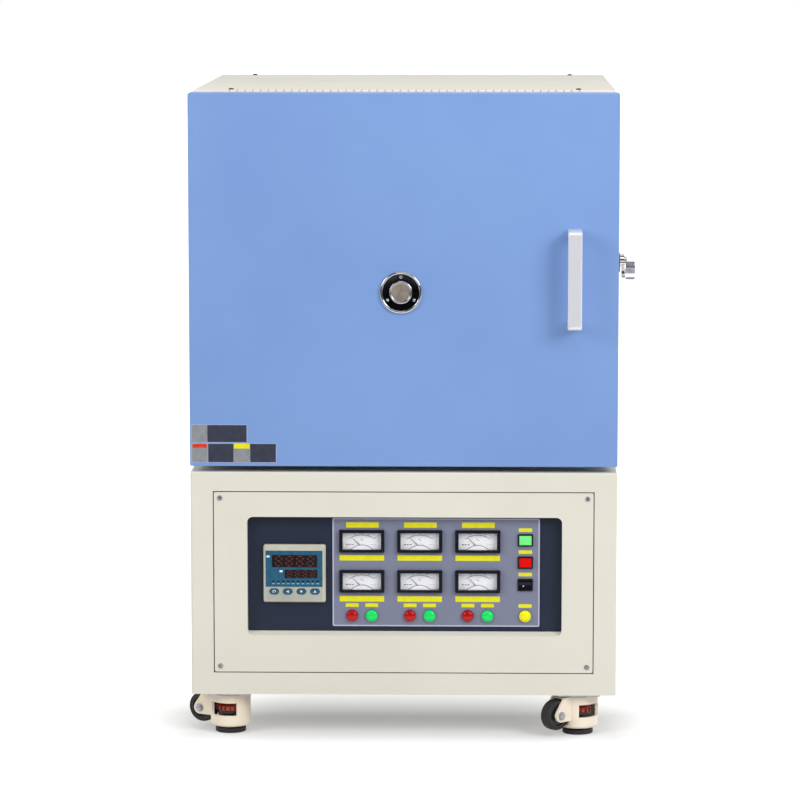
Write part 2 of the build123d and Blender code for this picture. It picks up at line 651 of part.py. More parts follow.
def instrument_cutouts():
    """Holes for the meters, lamps and switches, in the sketch that is open."""
    with Locations(*METER_PLACES):
        Rectangle(METER_BODY_WIDTH, METER_BODY_HEIGHT, mode=Mode.SUBTRACT)
    with Locations(*LAMP_PLACES):
        Circle(LAMP_BODY_RADIUS, mode=Mode.SUBTRACT)
    with Locations(START_PLACE, STOP_PLACE, ROCKER_PLACE):
        Rectangle(SWITCH_BODY_WIDTH, SWITCH_BODY_HEIGHT, mode=Mode.SUBTRACT)


with BuildPart() as fascia:
    with BuildSketch(across(FASCIA_FACE)):
        with Locations((WINDOW_X, WINDOW_Z)):
            Rectangle(WINDOW_WIDTH + 2 * FASCIA_MARGIN, WINDOW_HEIGHT + 2 * FASCIA_MARGIN)
        instrument_cutouts()
        with Locations((CONTROLLER_X, CONTROLLER_Z)):
            Rectangle(CONTROLLER_BODY_WIDTH, CONTROLLER_BODY_HEIGHT, mode=Mode.SUBTRACT)
    extrude(amount=-SHEET)
save(fascia.part, "fascia_panel")

with BuildPart() as meter_plate:
    with BuildSketch(across(PLATE_FACE)):
        with Locations((PLATE_X, PLATE_Z)):
            RectangleRounded(PLATE_WIDTH, PLATE_HEIGHT, 2.0)
        instrument_cutouts()
    extrude(amount=-PLATE_THICKNESS)
save(meter_plate.part, "meter_plate")

# ---------------------------------------------------------------- panel meters

METER_FRONT = PLATE_FACE - METER_STAND
DIAL_FACE = METER_FRONT + METER_DIAL_DEPTH
DIAL_WIDTH = METER_WIDTH - 2 * METER_RIM
DIAL_HEIGHT = METER_HEIGHT - 2 * METER_RIM + DIAL_EXTRA
PIVOT_DROP = DIAL_HEIGHT / 2 - NEEDLE_HUB_RADIUS - HUB_MARGIN
NEEDLE_BACK = DIAL_FACE - NEEDLE_FLOAT

with BuildPart() as meter_cases:
    with BuildSketch(across(METER_FRONT)):
        with Locations(*METER_PLACES):
            RectangleRounded(METER_WIDTH, METER_HEIGHT, METER_CORNER)
    extrude(amount=-METER_STAND)
    chamfer(meter_cases.faces().group_by(Axis.Y)[0].edges(), METER_CHAMFER)
    with BuildSketch(across(PLATE_FACE)):
        with Locations(*METER_PLACES):
            Rectangle(METER_BODY_WIDTH, METER_BODY_HEIGHT)
    extrude(amount=-METER_BODY)
    with BuildSketch(across(METER_FRONT)):
        with Locations(*METER_PLACES):
            Rectangle(DIAL_WIDTH, DIAL_HEIGHT)
    extrude(amount=-(METER_DIAL_DEPTH + METER_DIAL), mode=Mode.SUBTRACT)
save(meter_cases.part, "meter_cases")

with BuildPart() as meter_dials:
    with BuildSketch(across(DIAL_FACE)):
        with Locations(*METER_PLACES):
            Rectangle(DIAL_WIDTH, DIAL_HEIGHT)
    extrude(amount=-METER_DIAL)
    with BuildSketch(across(DIAL_FACE)):
        with Locations(*METER_PLACES):
            with Locations((0, -PIVOT_DROP)):
                Circle(NEEDLE_PIVOT_RADIUS)
    extrude(amount=NEEDLE_FLOAT + HUB_THICKNESS + PIVOT_STAND)
save(meter_dials.part, "meter_dials")

with BuildPart() as meter_windows:
    with BuildSketch(across(METER_FRONT + GLASS_SETBACK)):
        with Locations(*METER_PLACES):
            Rectangle(DIAL_WIDTH, DIAL_HEIGHT)
    extrude(amount=-METER_GLASS)
save(meter_windows.part, "meter_windows")

NEEDLE_TURN = radians(NEEDLE_REST_ANGLE)

for meter, (meter_x, meter_z) in enumerate(METER_PLACES, start=1):
    # the needle's own y runs from the pivot to the tip
    pivot = (meter_x, NEEDLE_BACK, meter_z - PIVOT_DROP)
    needle_plane = Plane(pivot, (cos(NEEDLE_TURN), 0, sin(NEEDLE_TURN)), (0, -1, 0))
    with BuildPart() as needle:
        with BuildSketch(needle_plane):
            Circle(NEEDLE_HUB_RADIUS)
            Circle(NEEDLE_PIVOT_RADIUS + RUNNING_GAP, mode=Mode.SUBTRACT)
        extrude(amount=HUB_THICKNESS)
        with BuildSketch(needle_plane):
            with BuildLine():
                Polyline(
                    (-NEEDLE_WIDTH / 2, NEEDLE_ROOT),
                    (NEEDLE_WIDTH / 2, NEEDLE_ROOT),
                    (NEEDLE_TIP_WIDTH / 2, NEEDLE_LENGTH),
                    (-NEEDLE_TIP_WIDTH / 2, NEEDLE_LENGTH),
                    close=True,
                )
            make_face()
        extrude(amount=NEEDLE_THICKNESS)
    save(needle.part, f"meter_needle_{meter}")

# ---------------------------------------------------------------- indicator lamps

LAMP_FRONT = PLATE_FACE - LAMP_STAND
DOME_RADIUS = (LAMP_LENS_RADIUS**2 + LAMP_DOME**2) / (2 * LAMP_DOME)
DOME_TURN = asin(LAMP_LENS_RADIUS / DOME_RADIUS)

with BuildPart() as lamp_bezels:
    with BuildSketch(across(LAMP_FRONT)):
        with Locations(*LAMP_PLACES):
            Circle(LAMP_RADIUS)
    extrude(amount=-LAMP_STAND)
    chamfer(lamp_bezels.faces().group_by(Axis.Y)[0].edges(), LAMP_CHAMFER)
    with BuildSketch(across(PLATE_FACE)):
        with Locations(*LAMP_PLACES):
            Circle(LAMP_BODY_RADIUS)
    extrude(amount=-LAMP_BODY)
    with BuildSketch(across(LAMP_FRONT)):
        with Locations(*LAMP_PLACES):
            Circle(LAMP_LENS_RADIUS)
    extrude(amount=-LENS_RIM, mode=Mode.SUBTRACT)
save(lamp_bezels.part, "lamp_bezels")


def lamp_lenses(places):
    """Domed lenses, seated in their bezels."""
    with BuildPart() as lenses:
        for lens_x, lens_z in places:
            # seen from above, with y running back into the lamp and the dome's rim at zero
            with BuildSketch(Plane((lens_x, LAMP_FRONT, lens_z), (1, 0, 0), (0, 0, 1))):
                with BuildLine():
                    halfway = DOME_TURN / 2
                    ThreePointArc(
                        (LAMP_LENS_RADIUS, 0),
                        (DOME_RADIUS * sin(halfway), DOME_RADIUS * (1 - cos(halfway)) - LAMP_DOME),
                        (0, -LAMP_DOME),
                    )
                    Polyline(
                        (0, -LAMP_DOME), (0, LENS_RIM), (LAMP_LENS_RADIUS, LENS_RIM), (LAMP_LENS_RADIUS, 0)
                    )
                make_face()
            revolve(axis=Axis((lens_x, 0, lens_z), (0, 1, 0)))
    return lenses.part


save(lamp_lenses(RED_LAMPS), "red_lamp_lenses")
save(lamp_lenses(GREEN_LAMPS), "green_lamp_lenses")
save(lamp_lenses(YELLOW_LAMP), "yellow_lamp_lens")

# ---------------------------------------------------------------- switches

SWITCH_FRONT = PLATE_FACE - SWITCH_STAND
CAP_WIDTH = SWITCH_WIDTH - 2 * SWITCH_WALL
CAP_HEIGHT = SWITCH_HEIGHT - 2 * SWITCH_WALL
CAP_FRONT = SWITCH_FRONT - BUTTON_STAND
CAP_BACK = SWITCH_FRONT + SOCKET_DEPTH - BUTTON_TRAVEL - SOCKET_CLEARANCE
ROCKER_Y = SWITCH_FRONT + ROCKER_SETBACK

with BuildPart() as switch_housings:
    with BuildSketch(across(SWITCH_FRONT)):
        with Locations(START_PLACE, STOP_PLACE, ROCKER_PLACE):
            RectangleRounded(SWITCH_WIDTH, SWITCH_HEIGHT, SWITCH_CORNER)
    extrude(amount=-SWITCH_STAND)
    chamfer(switch_housings.faces().group_by(Axis.Y)[0].edges(), SWITCH_CHAMFER)
    with BuildSketch(across(PLATE_FACE)):
        with Locations(START_PLACE, STOP_PLACE, ROCKER_PLACE):
            Rectangle(SWITCH_BODY_WIDTH, SWITCH_BODY_HEIGHT)
    extrude(amount=-SWITCH_BODY)
    with BuildSketch(across(SWITCH_FRONT)):
        with Locations(START_PLACE, STOP_PLACE):
            Rectangle(CAP_WIDTH + 2 * SEAT_GAP, CAP_HEIGHT + 2 * SEAT_GAP)
        with Locations(ROCKER_PLACE):
            Rectangle(CAP_WIDTH + 2 * SEAT_GAP, 2 * (ROCKER_RADIUS + SEAT_GAP))
    extrude(amount=-SOCKET_DEPTH, mode=Mode.SUBTRACT)
save(switch_housings.part, "switch_housings")

for cap_name, (cap_x, cap_z) in (("start_button", START_PLACE), ("stop_button", STOP_PLACE)):
    with BuildPart() as cap:
        with BuildSketch(across(CAP_FRONT)):
            with Locations((cap_x, cap_z)):
                Rectangle(CAP_WIDTH, CAP_HEIGHT)
        extrude(amount=-(CAP_BACK - CAP_FRONT))
        chamfer(cap.faces().sort_by(Axis.Y)[0].edges(), BUTTON_CHAMFER)
    save(cap.part, cap_name)


with BuildPart() as rocker:
    # the rocker's own x runs back into its housing, its y upwards, and it rests tilted
    tilt = radians(ROCKER_TILT)
    rocker_end = (SWITCH_X - CAP_WIDTH / 2, ROCKER_Y, ROCKER_PLACE[1])
    with BuildSketch(Plane(rocker_end, (0, cos(tilt), sin(tilt)), (1, 0, 0))):
        Circle(ROCKER_RADIUS)
        with BuildLine():
            Polyline(
                (-ROCKER_NOTCH, 0),
                (-ROCKER_HORN, ROCKER_RADIUS),
                (-2 * ROCKER_RADIUS, ROCKER_RADIUS),
                (-2 * ROCKER_RADIUS, -ROCKER_RADIUS),
                (-ROCKER_HORN, -ROCKER_RADIUS),
                close=True,
            )
        make_face(mode=Mode.SUBTRACT)
    extrude(amount=CAP_WIDTH)
save(rocker.part, "power_rocker")

# ---------------------------------------------------------------- temperature controller

CONTROLLER_FRONT = FASCIA_FACE - CONTROLLER_STAND
KEY_PLACES = [(CONTROLLER_X + (i - 1.5) * KEY_PITCH, CONTROLLER_Z - KEY_DROP) for i in range(4)]
KEY_POCKET = KEY_DEPTH + 1.4

with BuildPart() as controller:
    with BuildSketch(across(CONTROLLER_FRONT)):
        with Locations((CONTROLLER_X, CONTROLLER_Z)):
            RectangleRounded(CONTROLLER_WIDTH, CONTROLLER_HEIGHT, 3.0)
    extrude(amount=-CONTROLLER_STAND)
    chamfer(controller.faces().sort_by(Axis.Y)[0].edges(), 2.0)
    with BuildSketch(across(FASCIA_FACE)):
        with Locations((CONTROLLER_X, CONTROLLER_Z)):
            Rectangle(CONTROLLER_BODY_WIDTH, CONTROLLER_BODY_HEIGHT)
    extrude(amount=-CONTROLLER_BODY)
    with BuildSketch(across(CONTROLLER_FRONT)):
        with Locations((CONTROLLER_X + PV_OFFSET[0], CONTROLLER_Z + PV_OFFSET[1])):
            Rectangle(*PV_SIZE)
        with Locations((CONTROLLER_X + SV_OFFSET[0], CONTROLLER_Z + SV_OFFSET[1])):
            Rectangle(*SV_SIZE)
    extrude(amount=-DISPLAY_DEPTH, mode=Mode.SUBTRACT)
    with BuildSketch(across(CONTROLLER_FRONT)):
        with Locations(*KEY_PLACES):
            SlotOverall(KEY_WIDTH + 2 * SEAT_GAP, KEY_HEIGHT + 2 * SEAT_GAP)
    extrude(amount=-KEY_POCKET, mode=Mode.SUBTRACT)
save(controller.part, "controller_case")

with BuildPart() as displays:
    with BuildSketch(across(CONTROLLER_FRONT)):
        with Locations((CONTROLLER_X + PV_OFFSET[0], CONTROLLER_Z + PV_OFFSET[1])):
            Rectangle(*PV_SIZE)
        with Locations((CONTROLLER_X + SV_OFFSET[0], CONTROLLER_Z + SV_OFFSET[1])):
            Rectangle(*SV_SIZE)
    extrude(amount=-DISPLAY_DEPTH)
save(displays.part, "controller_display")

for key_name, key_place in zip(KEY_NAMES, KEY_PLACES):
    with BuildPart() as key:
        with BuildSketch(across(CONTROLLER_FRONT - KEY_STAND)):
            with Locations(key_place):
                SlotOverall(KEY_WIDTH, KEY_HEIGHT)
        extrude(amount=-(KEY_STAND + KEY_DEPTH))
        chamfer(key.faces().sort_by(Axis.Y)[0].edges(), 0.5)
    save(key.part, key_name)

# ---------------------------------------------------------------- screws

with BuildPart() as screws:
    with BuildSketch(Plane.XY.offset(COVER_TOP)):
        with Locations((0, COVER_Y)):
            with GridLocations(COVER_SCREW_PITCH_X, COVER_SCREW_PITCH_Y, 2, 2):
                Circle(SCREW_RADIUS)
    extrude(amount=SCREW_HEAD, taper=SCREW_TAPER)
    with BuildSketch(Plane.XY.offset(COVER_TOP)):
        with Locations((0, COVER_Y)):
            with GridLocations(COVER_SCREW_PITCH_X, COVER_SCREW_PITCH_Y, 2, 2):
                Circle(SCREW_SHANK)
    extrude(amount=-COVER_HEIGHT)
    with BuildSketch(across(FRONT)):
        with Locations((0, PANEL_Z)):
            with GridLocations(PANEL_SCREW_PITCH_X, PANEL_SCREW_PITCH_Z, 2, 2):
                Circle(SCREW_RADIUS)
    extrude(amount=SCREW_HEAD, taper=SCREW_TAPER)
    with BuildSketch(across(FRONT)):
        with Locations((0, PANEL_Z)):
            with GridLocations(PANEL_SCREW_PITCH_X, PANEL_SCREW_PITCH_Z, 2, 2):
                Circle(SCREW_SHANK)
    extrude(amount=-SHEET)
    with BuildSketch(across(BACK)):
        with Locations((0, CABINET_Z)):
            with GridLocations(REAR_SCREW_PITCH_X, REAR_SCREW_PITCH_Z, 2, 2):
                Circle(SCREW_RADIUS)
    extrude(amount=-SCREW_HEAD, taper=SCREW_TAPER)
    with BuildSketch(across(BACK)):
        with Locations((0, CABINET_Z)):
            with GridLocations(REAR_SCREW_PITCH_X, REAR_SCREW_PITCH_Z, 2, 2):
                Circle(SCREW_SHANK)
    extrude(amount=SHEET)
save(screws.part, "panel_screws")

# ---------------------------------------------------------------- door

PORT_Z = CHAMBER_Z
CORE_WIDTH = WIDTH - 2 * DOOR_FRAME
CORE_HEIGHT = DOOR_HEIGHT - 2 * DOOR_FRAME
PAD_BACK = CASING_FRONT - SEAT_GAP
SIGHT_RADIUS = PORT_GLASS_RADIUS - 2.0

with BuildPart() as door:
    with BuildSketch(across(FRONT)):
        with Locations((0, DOOR_Z)):
            Rectangle(WIDTH, DOOR_HEIGHT)
    extrude(amount=-DOOR_THICKNESS)
    fillet(door.edges().filter_by(Axis.Y), DOOR_EDGE_RADIUS)
    fillet(door.faces().sort_by(Axis.Y)[0].edges(), DOOR_FACE_RADIUS)
    with BuildSketch(across(FRONT + SHEET)):
        with Locations((0, DOOR_Z)):
            Rectangle(WIDTH - 2 * SHEET, DOOR_HEIGHT - 2 * SHEET)
    extrude(amount=-(DOOR_THICKNESS - 2 * SHEET), mode=Mode.SUBTRACT)
    with BuildSketch(across(DOOR_BACK)):
        with Locations((0, DOOR_Z)):
            Rectangle(CORE_WIDTH, CORE_HEIGHT)
    extrude(amount=SHEET, mode=Mode.SUBTRACT)
    with BuildSketch(across(FRONT)):
        with Locations((PORT_X, PORT_Z)):
            Circle(PORT_RING_RADIUS)
    extrude(amount=-SHEET, mode=Mode.SUBTRACT)
save(door.part, "door_skin")

with BuildPart() as insulation:
    with BuildSketch(across(FRONT + SHEET)):
        with Locations((0, DOOR_Z)):
            Rectangle(CORE_WIDTH, CORE_HEIGHT)
    extrude(amount=-(DOOR_THICKNESS - SHEET))
    with BuildSketch(across(DOOR_BACK)):
        with Locations((0, DOOR_Z)):
            RectangleRounded(CORE_WIDTH - 2 * PAD_MARGIN, CORE_HEIGHT - 2 * PAD_MARGIN, PAD_CORNER)
    extrude(amount=-(PAD_BACK - DOOR_BACK))
    with BuildSketch(across(PAD_BACK)):
        with Locations((0, CHAMBER_Z)):
            Rectangle(CHAMBER_WIDTH - 2 * PLUG_GAP, CHAMBER_HEIGHT - 2 * PLUG_GAP)
    extrude(amount=-PLUG_DEPTH, taper=PLUG_TAPER)
    with BuildSketch(across(FRONT)):
        with Locations((PORT_X, PORT_Z)):
            Circle(SIGHT_RADIUS)
    extrude(amount=-(PAD_BACK + PLUG_DEPTH - FRONT), mode=Mode.SUBTRACT)
save(insulation.part, "door_insulation")

with BuildPart() as bezel:
    with BuildSketch(Plane((PORT_X, FRONT, PORT_Z), (1, 0, 0), (0, 0, 1))):
        with BuildLine():
            rim_inside = PORT_RADIUS - PORT_RIM_WIDTH
            rim_crown = (PORT_RADIUS + rim_inside) / 2 + PORT_CROWN
            Polyline(
                (PORT_RING_RADIUS, SHEET),
                (PORT_RING_RADIUS, 0),
                (PORT_RADIUS, 0),
                (PORT_RADIUS, PORT_RIM_ROUNDING - PORT_RIM),
            )
            ThreePointArc(
                (PORT_RADIUS, PORT_RIM_ROUNDING - PORT_RIM),
                (rim_crown, -PORT_RIM),
                (rim_inside, PORT_RING_ROUNDING - PORT_RIM),
            )
            Polyline(
                (rim_inside, PORT_RING_ROUNDING - PORT_RIM),
                (PORT_RING_RADIUS + PORT_RING_ROUNDING, -PORT_DISH_RISE),
                (PORT_RING_RADIUS + PORT_RING_ROUNDING, PORT_RING_ROUNDING - PORT_RING_HEIGHT),
                (PORT_RING_RADIUS, -PORT_RING_HEIGHT),
                (PORT_GLASS_RADIUS + PORT_RING_ROUNDING, -PORT_RING_HEIGHT),
                (PORT_GLASS_RADIUS, PORT_RING_ROUNDING - PORT_RING_HEIGHT),
                (PORT_GLASS_RADIUS, SHEET),
                (PORT_RING_RADIUS, SHEET),
            )
        make_face()
    revolve(axis=Axis((PORT_X, 0, PORT_Z), (0, 1, 0)))
save(bezel.part, "viewport_bezel")

with BuildPart() as port_glass:
    with BuildSketch(across(FRONT - PORT_GLASS_STAND)):
        with Locations((PORT_X, PORT_Z)):
            Circle(PORT_GLASS_RADIUS)
    extrude(amount=-(PORT_GLASS_STAND + SHEET))
    chamfer(port_glass.faces().sort_by(Axis.Y)[0].edges(), PORT_GLASS_CHAMFER)
save(port_glass.part, "viewport_glass")

with BuildPart() as handle:
    with BuildSketch(side_on(HANDLE_X - HANDLE_WIDTH / 2)):
        with Locations((FRONT - HANDLE_REACH / 2, HANDLE_Z)):
            Rectangle(HANDLE_REACH, HANDLE_HEIGHT)
        fillet(vertices().group_by(Axis.X)[0], HANDLE_BEND)
        with Locations((FRONT - (HANDLE_REACH - HANDLE_BAR) / 2, HANDLE_Z)):
            Rectangle(HANDLE_REACH - HANDLE_BAR, HANDLE_HEIGHT - 2 * HANDLE_FOOT, mode=Mode.SUBTRACT)
    extrude(amount=HANDLE_WIDTH)
    chamfer(handle.edges().filter_by(Axis.Z).group_by(Axis.Y)[0], HANDLE_EDGE)
save(handle.part, "door_handle")

# ---------------------------------------------------------------- hinges

HINGE_HEIGHTS = [DOOR_Z - HINGE_SPREAD / 2, DOOR_Z + HINGE_SPREAD / 2]
KNUCKLE = HINGE_HEIGHT / 3

with BuildPart() as hinge_brackets:
    for hinge_z in HINGE_HEIGHTS:
        bottom = hinge_z - HINGE_HEIGHT / 2
        with BuildSketch(Plane.XY.offset(bottom)):
            with Locations((HINGE_X - STEM_HALF, CASING_FRONT)):
                Rectangle(LEAF_WIDTH + STEM_HALF, LEAF_THICKNESS, align=(Align.MIN, Align.MAX))
        extrude(amount=HINGE_HEIGHT)
        for knuckle_z in (bottom, bottom + 2 * KNUCKLE):
            with BuildSketch(Plane.XY.offset(knuckle_z)):
                with Locations((HINGE_X, HINGE_Y)):
                    Circle(BARREL_RADIUS)
                    Rectangle(2 * STEM_HALF, CASING_FRONT - HINGE_Y, align=(Align.CENTER, Align.MIN))
            extrude(amount=KNUCKLE)
        with BuildSketch(Plane.XY.offset(bottom)):
            with Locations((HINGE_X, HINGE_Y)):
                Circle(HINGE_PIN_RADIUS)
        extrude(amount=HINGE_HEIGHT)
save(hinge_brackets.part, "hinge_brackets")

with BuildPart() as door_leaves:
    for hinge_z in HINGE_HEIGHTS:
        bottom = hinge_z - HINGE_HEIGHT / 2
        with BuildSketch(Plane.XY.offset(bottom)):
            with Locations((HINGE_X + LEAF_START, DOOR_BACK)):
                Rectangle(LEAF_WIDTH, LEAF_THICKNESS, align=(Align.MIN, Align.MIN))
        extrude(amount=HINGE_HEIGHT)
        with BuildSketch(Plane.XY.offset(bottom + KNUCKLE + SEAT_GAP)):
            with Locations((HINGE_X, HINGE_Y)):
                Circle(BARREL_RADIUS)
            with Locations((HINGE_X - STEM_HALF, DOOR_BACK)):
                Rectangle(LEAF_START + STEM_HALF, HINGE_SETBACK, align=(Align.MIN, Align.MIN))
            with Locations((HINGE_X, HINGE_Y)):
                Circle(HINGE_PIN_RADIUS + RUNNING_GAP, mode=Mode.SUBTRACT)
        extrude(amount=KNUCKLE - 2 * SEAT_GAP)
save(door_leaves.part, "door_hinge_leaves")

# ---------------------------------------------------------------- side latch

LATCH_Y = CASING_FRONT + LATCH_SETBACK
STRIKE_Y = FRONT + STRIKE_SETBACK
LATCH_ARM = LATCH_Y - STRIKE_Y
LEVER_X = SIDE + LATCH_BOSS_HEIGHT + SEAT_GAP
LEVER_OUTSIDE = LEVER_X + LATCH_LEVER_THICKNESS
HOOK_SLOT = STRIKE_PIN_RADIUS + STRIKE_GAP

with BuildPart() as latch_base:
    for boss_x, boss_radius, boss_height in (
        (SIDE, LATCH_BOSS_RADIUS, LATCH_BOSS_HEIGHT),
        (SIDE, LATCH_SPINDLE_RADIUS, LEVER_OUTSIDE + SEAT_GAP - SIDE),
        (LEVER_OUTSIDE + SEAT_GAP, LATCH_SPINDLE_RADIUS + SPINDLE_HEAD_RIM, SPINDLE_HEAD),
    ):
        with BuildSketch(side_on(boss_x)):
            with Locations((LATCH_Y, LATCH_Z)):
                Circle(boss_radius)
        extrude(amount=boss_height)
save(latch_base.part, "latch_base")

with BuildPart() as latch_lever:
    # the lever's own x runs from the spindle to the hook, which hangs clear of the strike
    swing = radians(LATCH_OPEN_ANGLE)
    lever_plane = Plane((LEVER_X, LATCH_Y, LATCH_Z), (0, -cos(swing), -sin(swing)), (-1, 0, 0))
    hook_end = LATCH_ARM + HOOK_SLOT + HOOK_NOSE
    with BuildSketch(lever_plane):
        Circle(LATCH_BOSS_RADIUS)
        with Locations((0, HOOK_TOP)):
            Rectangle(hook_end, 2 * HOOK_SLOT + HOOK_NOSE, align=(Align.MIN, Align.MAX))
        fillet(vertices().group_by(Axis.X)[-1], HOOK_CORNER)
        with Locations((LATCH_ARM, -HOOK_SLOT)):
            Rectangle(2 * HOOK_SLOT, 4 * HOOK_SLOT, align=(Align.CENTER, Align.MIN), mode=Mode.SUBTRACT)
        Circle(LATCH_SPINDLE_RADIUS + RUNNING_GAP, mode=Mode.SUBTRACT)
    extrude(amount=-LATCH_LEVER_THICKNESS)
    with BuildSketch(lever_plane.offset(-LATCH_LEVER_THICKNESS)):
        with Locations((LATCH_TAB_PLACE, -HOOK_SLOT)):
            RectangleRounded(LATCH_TAB_WIDTH, 2 * HOOK_SLOT + HOOK_NOSE - LATCH_TAB_TRIM, HOOK_CORNER)
    extrude(amount=-LATCH_TAB_REACH)
    chamfer(latch_lever.faces().sort_by(Axis.X)[-1].edges(), LATCH_TAB_CHAMFER)
save(latch_lever.part, "latch_lever")

with BuildPart() as strike:
    strike_width, strike_height, strike_thickness = STRIKE_PLATE
    with BuildSketch(side_on(SIDE)):
        with Locations((STRIKE_Y, LATCH_Z)):
            RectangleRounded(strike_width, strike_height, STRIKE_CORNER)
    extrude(amount=strike_thickness)
    with BuildSketch(side_on(SIDE)):
        with Locations((STRIKE_Y, LATCH_Z)):
            Circle(STRIKE_PIN_RADIUS)
    extrude(amount=LEVER_OUTSIDE + STRIKE_HEAD - SIDE)
save(strike.part, "latch_strike")

# ---------------------------------------------------------------- levelling casters

PLATE_BOTTOM = STANCE - CASTER_PLATE
FORK_TOP = PLATE_BOTTOM - SEAT_GAP
CAVITY_TOP = FORK_TOP - HOUSING_CROWN
COLLAR_BOTTOM = PLATE_BOTTOM - COLLAR_DEPTH
AXLE_Z = WHEEL_LIFT + WHEEL_RADIUS
STEM_TOP = COLLAR_BOTTOM - STEM_SHORT
THUMBWHEEL_TOP = CAVITY_TOP - FOOT_TRAVEL - THUMBWHEEL_GAP
FORK_WIDTH = WHEEL_WIDTH + 2 * (FORK_GAP + FORK_ARM)
FORK_ARM_TOP = FORK_TOP - FORK_SHOULDER - FORK_ROUNDING
FORK_CORNERS = [
    (TRAIL - FORK_NOSE, FORK_ARM_TOP),
    (FORK_ROOT, FORK_ARM_TOP),
    (FORK_ROOT, AXLE_Z - FORK_FOOT_DROP),
]
CASTER_PLACES = {
    "front_left": (-CASTER_X, -CASTER_Y),
    "front_right": (CASTER_X, -CASTER_Y),
    "rear_left": (-CASTER_X, CASTER_Y),
    "rear_right": (CASTER_X, CASTER_Y),
}

with BuildPart() as caster_plates:
    with BuildSketch(Plane.XY.offset(PLATE_BOTTOM)):
        with GridLocations(2 * CASTER_X, 2 * CASTER_Y, 2, 2):
            RectangleRounded(CASTER_PLATE_SIZE, CASTER_PLATE_SIZE, CASTER_PLATE_CORNER)
            Circle(COLLAR_BORE, mode=Mode.SUBTRACT)
    extrude(amount=CASTER_PLATE)
    with BuildSketch(Plane.XY.offset(COLLAR_BOTTOM)):
        with GridLocations(2 * CASTER_X, 2 * CASTER_Y, 2, 2):
            Circle(COLLAR_RADIUS)
            Circle(COLLAR_BORE, mode=Mode.SUBTRACT)
    extrude(amount=COLLAR_DEPTH)
save(caster_plates.part, "caster_plates")


def window_sector(start, end):
    """Corners of a wedge about the swivel axis, between two angles, wider than the housing."""
    reach = 2 * HOUSING_RADIUS
    angles = [radians(angle) for angle in (start, (start + end) / 2, end)]
    return [(0, 0)] + [(reach * cos(angle), reach * sin(angle)) for angle in angles]


for corner, (caster_x, caster_y) in CASTER_PLACES.items():
    yaw = radians(CASTER_YAWS[corner])
    trail = (cos(yaw), sin(yaw), 0)
    ground = Plane((caster_x, caster_y, 0), trail, (0, 0, 1))
    upright = Plane((caster_x, caster_y, 0), trail, (sin(yaw), -cos(yaw), 0))

    with BuildPart() as fork:
        with BuildSketch(ground.offset(HOUSING_BOTTOM)):
            Circle(HOUSING_RADIUS)
        extrude(amount=FORK_TOP - HOUSING_BOTTOM)
        chamfer(fork.faces().sort_by(Axis.Z)[-1].edges(), HOUSING_CHAMFER)
        with BuildSketch(upright):
            with Locations((TRAIL, AXLE_Z)):
                Circle(FORK_LOBE_RADIUS)
            with Locations(*FORK_CORNERS):
                Circle(FORK_ROUNDING)
            make_hull()
        extrude(amount=FORK_WIDTH / 2, both=True)
        with BuildSketch(upright):
            with Locations((TRAIL, AXLE_Z)):
                Circle(WHEEL_RADIUS + WHEEL_ROOM)
        extrude(amount=WHEEL_WIDTH / 2 + FORK_GAP, both=True, mode=Mode.SUBTRACT)
        with BuildSketch(ground.offset(HOUSING_BOTTOM)):
            Circle(HOUSING_RADIUS - HOUSING_WALL)
        extrude(amount=CAVITY_TOP - HOUSING_BOTTOM, mode=Mode.SUBTRACT)
        with BuildSketch(ground.offset(THUMBWHEEL_WINDOW[0])):
            Polygon(*window_sector(*WINDOW_ARC), align=None)
            Polygon(*window_sector(-WINDOW_ARC[1], -WINDOW_ARC[0]), align=None)
        extrude(amount=THUMBWHEEL_WINDOW[1] - THUMBWHEEL_WINDOW[0], mode=Mode.SUBTRACT)
        with BuildSketch(ground.offset(CAVITY_TOP)):
            Circle(FOOT_STEM_RADIUS + RUNNING_GAP)
        extrude(amount=FORK_TOP - CAVITY_TOP, mode=Mode.SUBTRACT)
        with BuildSketch(ground.offset(FORK_TOP)):
            Circle(COLLAR_RADIUS + RUNNING_GAP)
        extrude(amount=-(FORK_TOP - COLLAR_BOTTOM + SEAT_GAP), mode=Mode.SUBTRACT)
        with BuildSketch(upright):
            with Locations((TRAIL, AXLE_Z)):
                Circle(AXLE_RADIUS)
        extrude(amount=FORK_WIDTH / 2 + AXLE_HEAD, both=True)
    save(fork.part, f"caster_fork_{corner}")

    with BuildPart() as wheel:
        with BuildSketch(upright):
            with Locations((TRAIL, AXLE_Z)):
                Circle(WHEEL_RADIUS)
        extrude(amount=WHEEL_WIDTH / 2, both=True)
        fillet(wheel.edges().filter_by(GeomType.CIRCLE), WHEEL_ROUNDING)
        with BuildSketch(upright):
            with Locations((TRAIL, AXLE_Z)):
                Circle(AXLE_RADIUS + RUNNING_GAP)
        extrude(amount=WHEEL_WIDTH / 2, both=True, mode=Mode.SUBTRACT)
    save(wheel.part, f"caster_wheel_{corner}")

    with BuildPart() as foot:
        with BuildSketch(ground):
            Circle(FOOT_RADIUS)
        extrude(amount=FOOT_HEIGHT)
        chamfer(foot.faces().sort_by(Axis.Z)[-1].edges(), FOOT_CHAMFER)
        with BuildSketch(ground.offset(THUMBWHEEL_TOP - THUMBWHEEL_HEIGHT)):
            Circle(THUMBWHEEL_RADIUS)
            with PolarLocations(THUMBWHEEL_RADIUS, KNURL_COUNT):
                Circle(KNURL_RADIUS, mode=Mode.SUBTRACT)
        extrude(amount=THUMBWHEEL_HEIGHT)
        with BuildSketch(ground):
            Circle(FOOT_STEM_RADIUS)
        extrude(amount=STEM_TOP)
    save(foot.part, f"levelling_foot_{corner}")

# ---------------------------------------------------------------- mains inlet and transformer

